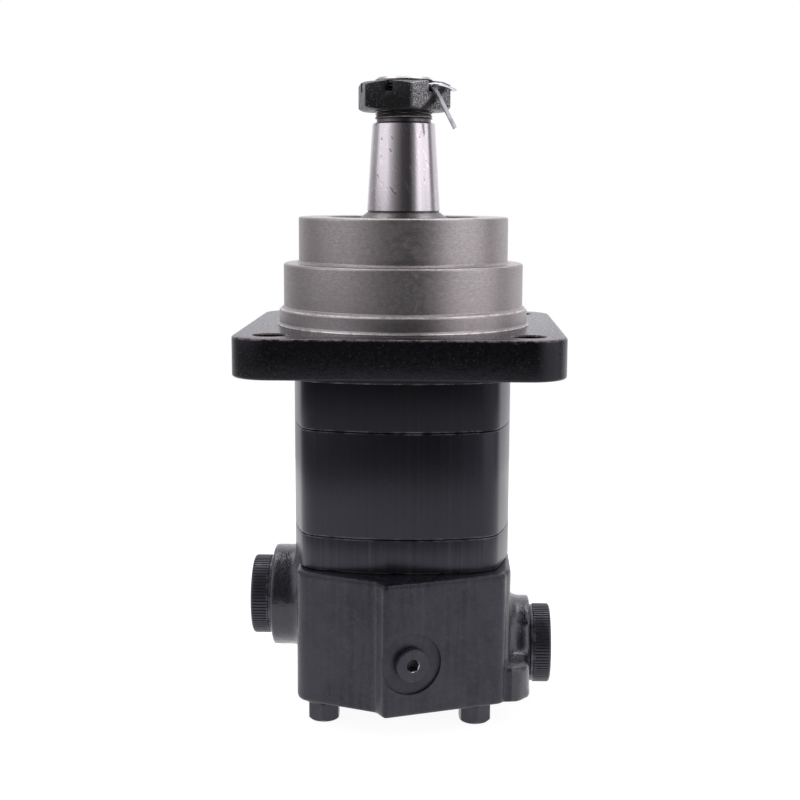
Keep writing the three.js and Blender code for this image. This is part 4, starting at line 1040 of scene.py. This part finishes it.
def cotter_pin():
    """Split pin of half-round wire: an eye behind the nut, one leg bent along the nut, one hanging down."""
    out = Vector((*circle_point(1, PIN_AZIMUTH), 0))
    along = Vector((*circle_point(1, PIN_AZIMUTH + pi / 2), 0))
    wire, gap = 1.3, 0.06

    def at(outward, sideways, rise):
        return out * outward + along * sideways + Vector((0, 0, PIN_HEIGHT + rise))

    eye = [
        at(-20.2 - 2.0 * (1 - cos(angle)), 0, gap + 1.35 * sin(angle))
        for angle in map(radians, (40, 75, 105, 140))
    ]
    eye_low = [Vector((p.x, p.y, 2 * PIN_HEIGHT - p.z)) for p in reversed(eye)]
    upper = [
        at(20.8, 10.4, -1.9), at(20.7, 7.6, -1.1), at(20.4, 4.2, -0.3), at(19.5, 1.3, gap), at(17.4, 0, gap),
        at(8, 0, gap), at(-8, 0, gap), at(-17.5, 0, gap),
    ]
    lower = [
        at(-17.5, 0, -gap), at(-8, 0, -gap), at(8, 0, -gap), at(17.2, 0, -gap), at(19.3, 0.5, -0.9),
        at(20.7, 1.9, -3.6), at(22.0, 4.2, -8.5), at(24.2, 8.3, -17.2),
    ]
    path = smooth_path(upper + eye + [at(-24.9, 0, 0)] + eye_low + lower, 8)
    turns = [pi * i / 10 for i in range(11)]
    half_round = [(wire * cos(turn), wire * 0.95 * sin(turn)) for turn in turns]
    pin = swept("pin", path, half_round, Vector((0, 0, 1)))
    place(pin, "cotter_pin", "shaft", "bright_zinc", ZINC, angle=50)


def dust_wiper():
    outer, lip, bottom, top = 32.5, JOURNAL + GAP, 213.1, 214.9
    wiper = lathe("wiper", rounded([
        (lip + 0.9, bottom, 0), (outer, bottom, 0.2), (outer, top, 0.3), (lip + 6.5, top, 0.3),
        (lip + 5.5, top - 0.7, 0.3), (lip + 2.6, top - 0.7, 0.4), (lip + 1.2, top, 0.3),
        (lip, top - 0.3, 0.15),
    ], 20))
    place(wiper, "dust_wiper", "housing", "black_rubber", RUBBER)


bearing_housing()
geroler_ring()
valve_plate()
valve_housing()
tie_bolts()
port_plug("left_port_plug", LEFT_PORT)
port_plug("right_port_plug", RIGHT_PORT)
drain_plug()
output_shaft()
shaft_key()
shaft_nut()
cotter_pin()
dust_wiper()

# ---------------- pieces that stay as the frame has them

SLOT_MATERIALS = {
    "black_paint": SHADED_HOUSING_PAINT,
    "cast_paint": CASTING_PAINT,
    "ground_steel": GROUND_STEEL,
    "hard_steel": HARD_STEEL,
    "black_oxide": NUT_OXIDE,
    "bright_zinc": ZINC,
    "black_rubber": RUBBER,
    "plug_plastic": PLASTIC,
}
for subpart in frame["record"]["subparts"]:
    node = frame["nodes"][subpart["node"]]
    node.data.materials.clear()
    node.data.materials.append(SLOT_MATERIALS[subpart["material_slot"]])

# ---------------- studio


def floor():
    bm = bmesh.new()
    bmesh.ops.create_circle(bm, cap_ends=True, segments=96, radius=0.56)
    plane = new_object("floor", bm)
    tree = Tree("floor_paper", (0.2, 0.2, 0.2), 0.9)
    tree.colour(tree.mix(tree.noise(3, 2), (0.19, 0.19, 0.19), (0.21, 0.21, 0.21)))
    set_inputs(tree.shader, Emission_Color=(1, 1, 1, 1), Emission_Strength=0.93)
    plane.data.materials.append(tree.material)


def top_light():
    """Weak soft box above and behind the motor."""
    light = bpy.data.lights.new("top_box", "AREA")
    light.shape = "RECTANGLE"
    light.size, light.size_y = 1.3, 0.6
    light.energy = 9.0
    obj = bpy.data.objects.new("top_box", light)
    bpy.context.scene.collection.objects.link(obj)
    obj.location = (0, 0.5, 1.4)
    obj.rotation_euler = (Vector((0, 0.05, 0)) - obj.location).to_track_quat("-Z", "Y").to_euler()


# Brightness of the room round the motor: (degrees from the front, level above the horizon, level near it).
ROOM = [
    (-180, 1.2, 1.0), (-150, 0.9, 0.8), (-125, 0.5, 0.4), (-106, 0.55, 0.25), (-96, 1.3, 0.2),
    (-58, 1.3, 0.2), (-44, 0.75, 0.18), (-24, 0.3, 0.12), (-4, 0.08, 0.04), (24, 0.04, 0.04),
    (40, 0.35, 0.4), (52, 1.6, 0.9), (96, 1.6, 0.9), (104, 0.25, 0.4), (114, 0.3, 0.4),
    (126, 0.95, 0.95), (155, 1.0, 0.95), (180, 1.25, 1.05),
]


def surroundings():
    """Soft white panels behind and beside the motor and a dark side in front; plain white to the camera."""
    world = bpy.data.worlds.new("studio")
    bpy.context.scene.world = world
    world.use_nodes = True
    tree = world.node_tree
    nodes, link = tree.nodes, tree.links.new
    nodes.clear()

    def ramp(levels, turn):
        node = nodes.new("ShaderNodeValToRGB")
        elements = node.color_ramp.elements
        while len(elements) < len(levels):
            elements.new(0.5)
        for element, (angle, level) in zip(elements, levels):
            element.position = (angle + 180) / 360
            element.color = (level, level * 0.985, level * 1.045, 1)
        link(turn, node.inputs["Fac"])
        return node.outputs["Color"]

    split = nodes.new("ShaderNodeSeparateXYZ")
    link(nodes.new("ShaderNodeTexCoord").outputs["Generated"], split.inputs["Vector"])
    behind = add_maths(tree, "MULTIPLY", split.outputs["Y"], -1)
    turn = add_maths(tree, "ARCTAN2", split.outputs["X"], behind)
    turn = add_maths(tree, "MULTIPLY_ADD", turn, 0.5 / pi, 0.5)
    lift = nodes.new("ShaderNodeMapRange")
    lift.interpolation_type = "SMOOTHSTEP"
    set_inputs(lift, From_Min=0.03, From_Max=0.14)
    link(split.outputs["Z"], lift.inputs["Value"])
    levels = nodes.new("ShaderNodeMix")
    levels.data_type = "RGBA"
    link(lift.outputs["Result"], levels.inputs["Factor"])
    link(ramp([(angle, below) for angle, above, below in ROOM], turn), levels.inputs[6])
    link(ramp([(angle, above) for angle, above, below in ROOM], turn), levels.inputs[7])
    room = nodes.new("ShaderNodeBackground")
    link(levels.outputs[2], room.inputs["Color"])
    paper = nodes.new("ShaderNodeBackground")
    set_inputs(paper, Color=(1, 1, 1, 1))
    choose = nodes.new("ShaderNodeMixShader")
    link(nodes.new("ShaderNodeLightPath").outputs["Is Camera Ray"], choose.inputs["Fac"])
    link(room.outputs["Background"], choose.inputs[1])
    link(paper.outputs["Background"], choose.inputs[2])
    link(choose.outputs["Shader"], nodes.new("ShaderNodeOutputWorld").inputs["Surface"])


def camera():
    data = bpy.data.cameras.new("camera")
    data.sensor_width = 36
    data.lens = 62.36
    data.clip_start = 0.02
    obj = bpy.data.objects.new("camera", data)
    bpy.context.scene.collection.objects.link(obj)
    turn = Matrix.Rotation(radians(1.84), 4, "Z")
    tilt = Matrix.Rotation(radians(81.37), 4, "X")
    roll = Matrix.Rotation(radians(0.21), 4, "Z")
    obj.matrix_world = Matrix.Translation((0.01828, -0.60673, 0.2267)) @ turn @ tilt @ roll
    bpy.context.scene.camera = obj


floor()
surroundings()
top_light()
camera()
bpy.context.scene.view_settings.view_transform = "Standard"
